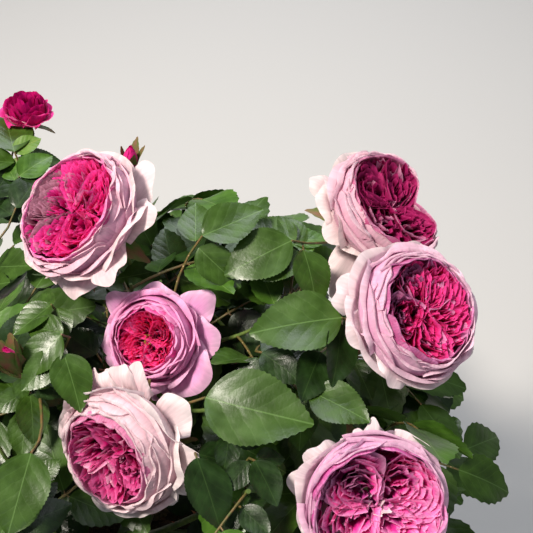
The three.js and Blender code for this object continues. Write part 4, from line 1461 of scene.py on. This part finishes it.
class ROSEBUSH_OT_compost(bpy.types.Operator):
    """Make the compost with its crumbs of bark"""

    bl_idname = "rose_bush.compost"
    bl_label = "Compost"

    def execute(self, context):
        inside = pot_outside(COMPOST_TOP) - POT_WALL - 0.6
        dice = make_dice(COMPOST_SEEDS)

        def top(radius, turn):
            lump = math.sin(radius * 0.21 + turn * 3) + math.sin(radius * 0.13 - turn * 5 + 2)
            return COMPOST_TOP - 2.5 - 5 * (radius / inside) ** 3 + 0.7 * lump

        # the bed's top, then its side down to the pot's floor
        rows, steps = 26, 72
        points = [(0, 0, top(0, 0))]
        for row in range(1, rows):
            radius = inside * row / (rows - 1)
            for turn in turns_in(steps):
                points.append(around(radius, turn, top(radius, turn) + (dice() - 0.5) * 1.6))
        floor = POT_FLOOR + 0.4
        sides = (COMPOST_TOP - 12, COMPOST_TOP - 60, COMPOST_TOP - 130, floor + 4, floor)
        for height in sides:
            radius = pot_outside(height) - POT_WALL - (3.4 if height == floor else 0.6)
            points += [around(radius, turn, height) for turn in turns_in(steps)]
        points.append((0, 0, floor))
        faces = [(0, 1 + s, 1 + (s + 1) % steps) for s in range(steps)]
        last = len(points) - 1
        faces += [(last, last - steps + (s + 1) % steps, last - steps + s) for s in range(steps)]
        faces += band_faces(rows - 1 + len(sides), steps, 1)
        bed = piece_from("compost_bed", points, faces, [compost_material("peat_compost", "#1c130d", "#4a3626")])
        weld(bed)
        hand_over(bed, ["compost"])

        places, turns, sizes = [], [], []
        for _ in range(context.scene.rose_bush.crumbs):
            radius = inside * math.sqrt(dice()) * 0.97
            turn = dice() * FULL_TURN
            places.append(around(radius, turn, top(radius, turn) + 0.3))
            turns.append((dice() * 3, dice() * 3, dice() * 6))
            big = 1.2 + 3.4 * dice() ** 3
            sizes.append((big, big * (0.5 + 0.5 * dice()), big * 0.55))
        shape = [(1, 0, 0), (-1, 0.2, 0.1), (0.1, 1, -0.1), (-0.1, -1, 0.2), (0, 0.1, 1), (0.1, 0, -1)]
        sides = [(0, 2, 4), (2, 1, 4), (1, 3, 4), (3, 0, 4), (2, 0, 5), (1, 2, 5), (3, 1, 5), (0, 3, 5)]
        material = compost_material("composted_bark", "#2c1c12", "#6b4c33")
        crumbs = scattered("bark_crumbs", shape, sides, places, turns, sizes, material)
        hand_over(crumbs)
        return {"FINISHED"}


class ROSEBUSH_OT_wood(bpy.types.Operator):
    """Make the graft union, the canes and their prickles"""

    bl_idname = "rose_bush.wood"
    bl_label = "Wood"

    def execute(self, context):
        shape = (
            (0, -4), (1.5, -4), (1.32, 0), (1.08, 0.12), (1.0, 0.22), (1.06, 0.4), (1.12, 0.55), (1.0, 0.75),
            (0.8, 0.9), (0.45, 0.98), (0, 1.0),
        )
        profile = [(r * UNION_RADIUS, COMPOST_TOP + (z if z < 0 else z * UNION_HEIGHT)) for r, z in shape]

        def knobs(height, turn):
            return 1.1 * math.sin(turn * 3 + height * 0.2) + 0.8 * math.sin(turn * 5 - height * 0.33 + 1)

        bark = bark_material("old_rose_bark", "#3d2f1f", "#7a6546", 260, 0.85, 0.8)
        union = turned_mesh("graft_knuckle", profile, steps=40, materials=[bark], relief=knobs)
        hand_over(union, ["graft_union"])

        plan = growth()
        lines = [(cane, CANE_FOOT_RADIUS, CANE_TIP_RADIUS * 0.86) for _, cane in plan["hubs"]]
        bark = bark_material("green_cane_bark", "#3c4a22", "#6f7c3e", 190, 0.6, 0.35)
        canes = limbs("canes", lines, bark, sides=12, steps=24)
        hand_over(canes, [f"cane_{i}" for i in CANE_NUMBERS])

        spacing = context.scene.rose_bush.prickle_spacing / MM
        places, turns, sizes = [], [], []
        dice = make_dice(PRICKLE_SEEDS)
        thorny = [(line, foot, tip, CANE_BARE) for line, foot, tip in lines]
        thorny += [(shoot, SHOOT_FOOT_RADIUS, SHOOT_TIP_RADIUS, SHOOT_BARE) for shoot in plan["shoots"]]
        for line, foot, tip, lowest in thorny:
            reached = line.length * lowest
            while reached < line.length * PRICKLY_TO:
                share = reached / line.length
                along = line.along(share)
                out = swung(*sideways(along), dice() * FULL_TURN)
                radius = foot + (tip - foot) * share
                places.append(line.at(share) + out * radius * 0.9)
                # the prickle's point looks out and slightly down; its broad foot lies along the cane
                way = unit(out - along * 0.35)
                turns.append(euler_to(way, along))
                big = (0.55 + 0.6 * dice()) * (radius / 4) ** 0.5
                sizes.append((big, big, big))
                reached += spacing * (0.5 + 1.2 * dice())
        shape = [
            (-2.6, 0, 0), (0, 0.75, 0), (2.0, 0, 0), (0, -0.75, 0), (-1.7, 0.3, 2.0), (-1.7, -0.3, 2.0),
            (0.3, 0.3, 1.6), (-1.6, 0, 4.8),
        ]
        sides = [
            (0, 4, 5), (0, 1, 4), (1, 6, 4), (1, 2, 6), (2, 3, 6), (3, 5, 6), (3, 0, 5), (4, 6, 7), (6, 5, 7),
            (5, 4, 7),
        ]
        horn = bark_material("prickle_horn", "#7d4530", "#b5714c", 300, 0.5, 0.1)
        hand_over(scattered("prickles", shape, sides, places, turns, sizes, horn))
        return {"FINISHED"}


def euler_to(way, along):
    """Turns +Z to way and +X as near as can be to along."""
    first = settled(along, way)
    second = np.cross(way, first)
    return tuple(Matrix(np.array([first, second, way]).T.tolist()).to_euler("XYZ"))


def leaf_tone(end, share, chance):
    """0 painted shade, 1 mature, 2 fresh, 3 young: the higher and the nearer a tip, the younger."""
    height = (end[2] - PAINTED_SHADE_HEIGHT) / SHADE_TO_YOUNG
    rank = height * 1.1 + share * 0.7 + (chance - 0.5) * 1.1
    return sum(rank >= step for step in TONE_STEPS)


class ROSEBUSH_OT_leaves(bpy.types.Operator):
    """Make the shoots, the leaf stalks and the compound leaves"""

    bl_idname = "rose_bush.leaves"
    bl_label = "Shoots and Leaves"

    def execute(self, context):
        plan = growth()
        spacing = context.scene.rose_bush.leaf_spacing / MM
        sheets = Sheets()
        stalks = []
        number = 0
        twigs = make_twigs(plan["shoots"], plan["blooms"])
        bearers = [(shoot, tip[0]) for shoot, tip in zip(plan["shoots"], plan["tips"])]
        bearers += [(twig, "leaves") for twig in twigs]
        for index, (line, kind) in enumerate(bearers):
            for leaf in leaves_on(line, kind, index, spacing):
                add_compound_leaf(sheets, stalks, leaf, number, plan["blooms"])
                number += 1
        placed = Sheets()
        for joint, tip, normal, tone in PLACED_LEAVES:
            number += 1
            add_placed_leaf(placed, stalks, np.array(joint, float), np.array(tip, float), normal, tone, number, plan)
        mature = tuple(context.scene.rose_bush.mature_leaf)
        tones = [
            # tone 0 is a dark painted shade for low, inner leaves and placed leaves in shadow
            leaf_material("rose_leaf_painted_shade", ("#14240a", "#203812"), "#405a2c", 0.34),
            leaf_material("rose_leaf_mature", (darker(mature, 0.6), mature), "#66864a", 0.33),
            leaf_material("rose_leaf_fresh", ("#335216", "#44681e"), "#7a9650", 0.34),
            leaf_material("rose_leaf_young", ("#4c6c24", "#5c7a2a"), "#9a8a4c", 0.36),
        ]
        hand_over(sheets.piece("leaflets", tones), [f"foliage_{i}" for i in CANE_NUMBERS])
        hand_over(placed.piece("upper_leaflets", tones))
        lines = [(shoot, SHOOT_FOOT_RADIUS, SHOOT_TIP_RADIUS) for shoot in plan["shoots"]]
        lines += [(twig, TWIG_FOOT_RADIUS, TWIG_TIP_RADIUS) for twig in twigs]
        bark = bark_material("young_shoot_skin", "#3c5422", "#637436", 240, 0.5, 0.2)
        hand_over(limbs("shoots", lines, bark, sides=8, steps=16))
        bark = bark_material("leaf_stalk_skin", "#465022", "#6e5230", 300, 0.5, 0.1)
        hand_over(limbs("leaf_stalks", stalks, bark, sides=5, steps=5))
        return {"FINISHED"}


def add_placed_leaf(sheets, stalks, joint, tip, normal, tone, number, plan):
    """A compound leaf whose end leaflet lies from joint to tip, with a stalk back to the nearest shoot."""
    dice = make_dice(PLACED_LEAF_SEEDS, number)
    way = unit(tip - joint)
    length = np.linalg.norm(tip - joint)
    normal = settled(unit(normal), way)
    add_leaflet(sheets, joint, way, normal, length * 1.02, dice, tone, FINE_LEAFLET, 0.7)
    back = joint - way * length * 0.42 - UP * length * 0.42
    spots = [shoot.at(share) for shoot in plan["shoots"] for share in np.linspace(0.2, 0.92, 19)]
    foot = min(spots, key=lambda spot: np.linalg.norm(spot - (back - UP * 20)))
    stalks.append((Line(foot, foot + (back - foot) * 0.6 + UP * 8, back, joint), 1.2, 0.8))
    across = np.cross(way, normal)
    for side in (-1, 1):
        spread = math.radians(62 + 14 * dice())
        out = unit(swung(way, across * side, spread) - normal * 0.18)
        base = back + (joint - back) * 0.7 + out * 3
        part = length * (0.72 + 0.14 * dice())
        if not any(hides_bloom(base + out * part * share, plan["blooms"], part * 0.3) for share in (0.5, 0.8)):
            tilt = settled(normal + across * side * 0.2, out)
            add_leaflet(sheets, base, out, tilt, part, dice, tone, FINE_LEAFLET, 0.68)


class ROSEBUSH_OT_blooms(bpy.types.Operator):
    """Make the full rosette blooms and the small crimson one"""

    bl_idname = "rose_bush.blooms"
    bl_label = "Blooms"

    def execute(self, context):
        sets = {}
        # the fifth kind: the green eye's own colour in the fresh set, a dark painted shade on a heart's side in the
        # others
        kinds = ("guard_petal", "cup_petal", "inner_petal", "heart_petal", "painted_shade_and_eye_petal")
        for name, colours in PETAL_SETS.items():
            sets[name] = [
                petal_material(f"{kind}_{name}", number, *colours[number]) for number, kind in enumerate(kinds)
            ]
        for name, bloom in BLOOMS.items():
            sheets = small_bloom(bloom) if name == "small" else full_bloom(bloom)
            piece = sheets.piece(f"{name}_petals", sets[bloom.colours])
            hand_over(piece, [f"bloom_{name}"])
        return {"FINISHED"}


class ROSEBUSH_OT_buds(bpy.types.Operator):
    """Make the buds and the green cups and sepals under the blooms"""

    bl_idname = "rose_bush.buds"
    bl_label = "Buds and Sepals"

    def execute(self, context):
        green = leaf_material("sepal_skin", ("#4c6a2c", "#7a5440"), "#6e4634", 0.5)
        sepals = Sheets()
        hips = []
        for bloom in BLOOMS.values():
            (base, faces), across = bloom_foot(bloom), bloom.across
            add_calyx(sepals, base, faces, across * 0.42, -0.2, 17 + int(across))
            hips.append((Line(base - faces * 9, base + faces * across * 0.03), 2.6, across * 0.06))
        for number, (tip, points, size, slim, broad) in enumerate(BUDS):
            points, width = unit(points), size * slim
            foot = np.array(tip) - points * size * BUD_LENGTH
            base = foot + points * size * 0.2
            add_calyx(sepals, base, points, size * (1.2 + broad), 3.6, 31 + number, broad, width * 0.42)
            hips.append((Line(foot - points * 8, foot + points * size * 0.35), 2.0, width * 0.3))
        hand_over(sepals.piece("sepals", [green]))
        bark = bark_material("calyx_skin", "#55702f", "#7f9448", 300, 0.5, 0.15)
        hand_over(limbs("green_cups", hips, bark, sides=12, steps=5))

        petals = Sheets()
        for number, (tip, points, size, slim, _) in enumerate(BUDS):
            add_bud(petals, np.array(tip, float), unit(points), size, slim, 301 + number)
        colours = PETAL_SETS["deep"]
        bud_coats = [petal_material(f"bud_petal_{n}", n, *colours[n]) for n in range(5)]
        hand_over(petals.piece("bud_petals", bud_coats))
        return {"FINISHED"}


def add_calyx(sheets, base, faces, length, opening, seed, width=0.3, aside=1.5):
    """Five narrow sepals round a bloom's or a bud's foot. opening bends them up round a bud or back."""
    dice = make_dice(CALYX_SEEDS, seed)
    first, second = sideways(faces)
    for i in range(5):
        out = swung(first, second, i / 5 * FULL_TURN + dice() * 0.3)
        way = unit(out * (1.0 if opening < 0 else 0.42) + faces * opening)
        normal = settled(faces if opening < 0 else -out, way)
        own = length * (0.8 + 0.4 * dice())
        add_leaflet(sheets, base + out * aside, way, normal, own, dice, 0, PLAIN_LEAFLET, width)


def add_bud(sheets, tip, points, size, slim, seed):
    """A pointed bud of wrapped petals."""
    dice = make_dice(BUD_SEEDS, seed)
    base = tip - points * size * BUD_LENGTH
    axes = frame_of(points)

    def place(local):
        return base + (local * (size * slim, size * slim, size)) @ axes

    for ring in range(3):
        swell = 0.5 - 0.06 * ring
        top = BUD_LENGTH - 0.1 + 0.05 * ring
        path = ((0.12, 0.2), (swell * 0.9, 0.55), (swell, 0.95), (swell * 0.62, 1.4), (0.07, top))
        for i in range(4):
            add_petal(
                sheets, place, dice, ring, BUD_GRID, i / 4 * FULL_TURN + ring * 0.7 + dice() * 0.3,
                math.radians(62), path, 0.12, 0.02, 0.02, 0.03, 0.04,
            )


class ROSEBUSH_OT_stage(bpy.types.Operator):
    """Set up the floor, the soft lights and the camera"""

    bl_idname = "rose_bush.stage"
    bl_label = "Stage"

    def execute(self, context):
        scene = context.scene
        mesh = bpy.data.meshes.new("floor")
        corners = [(x * FLOOR_HALF, y * FLOOR_HALF, 0) for x, y in ((-1, -1), (1, -1), (1, 1), (-1, 1))]
        mesh.from_pydata(corners, [], [(0, 1, 2, 3)])
        material, tree = new_material("pale_floor")
        mesh.materials.append(finished(material, coat(tree, linear("#bdbbb8"), 0.85)))
        made = [linked("floor", mesh)]
        world = bpy.data.worlds.new("soft_sky")
        world.use_nodes = True
        sky = world.node_tree.nodes["Background"].inputs
        sky["Color"].default_value = linear("#dfe6ee")
        sky["Strength"].default_value = SKY_STRENGTH
        scene.world = world
        for name, place, size, power, tint in LIGHTS:
            data = bpy.data.lights.new(name, "AREA")
            data.shape = "DISK"
            data.size, data.energy, data.color = size, power, linear(tint)[:3]
            light = linked(name, data)
            light.location = place
            light.rotation_euler = Vector(LIGHTS_AIM - place).to_track_quat("-Z", "Y").to_euler()
            made.append(light)
        data = bpy.data.cameras.new("camera")
        data.lens, data.sensor_width = LENS, FILM
        camera = scene.camera = linked("camera", data)
        camera.location = STANDPOINT * MM
        camera.rotation_euler = (SIGHT_TILT, 0, 0)
        scene.view_settings.view_transform = "Standard"
        return {"FINISHED"}


OPERATORS = (
    ROSEBUSH_OT_pot, ROSEBUSH_OT_compost, ROSEBUSH_OT_wood, ROSEBUSH_OT_leaves, ROSEBUSH_OT_blooms,
    ROSEBUSH_OT_buds, ROSEBUSH_OT_stage,
)


class ROSEBUSH_PT_panel(bpy.types.Panel):
    """Settings and steps of the rose bush"""

    bl_idname = "ROSEBUSH_PT_panel"
    bl_label = "Rose Bush"
    bl_space_type = "VIEW_3D"
    bl_region_type = "UI"
    bl_category = "Rose Bush"

    def draw(self, context):
        settings = context.scene.rose_bush
        for key in ("leaf_spacing", "prickle_spacing", "crumbs", "pot_colour", "mature_leaf"):
            self.layout.prop(settings, key)
        for operator in OPERATORS:
            self.layout.operator(operator.bl_idname)


CLASSES = (RoseBushSettings, *OPERATORS, ROSEBUSH_PT_panel)


def register():
    for cls in CLASSES:
        bpy.utils.register_class(cls)
    bpy.types.Scene.rose_bush = PointerProperty(type=RoseBushSettings)


def unregister():
    del bpy.types.Scene.rose_bush
    for cls in reversed(CLASSES):
        bpy.utils.unregister_class(cls)


def main():
    register()
    bpy.ops.rose_bush.pot()
    bpy.ops.rose_bush.compost()
    bpy.ops.rose_bush.wood()
    bpy.ops.rose_bush.leaves()
    bpy.ops.rose_bush.blooms()
    bpy.ops.rose_bush.buds()
    bpy.ops.rose_bush.stage()


if __name__ == "__main__":
    main()
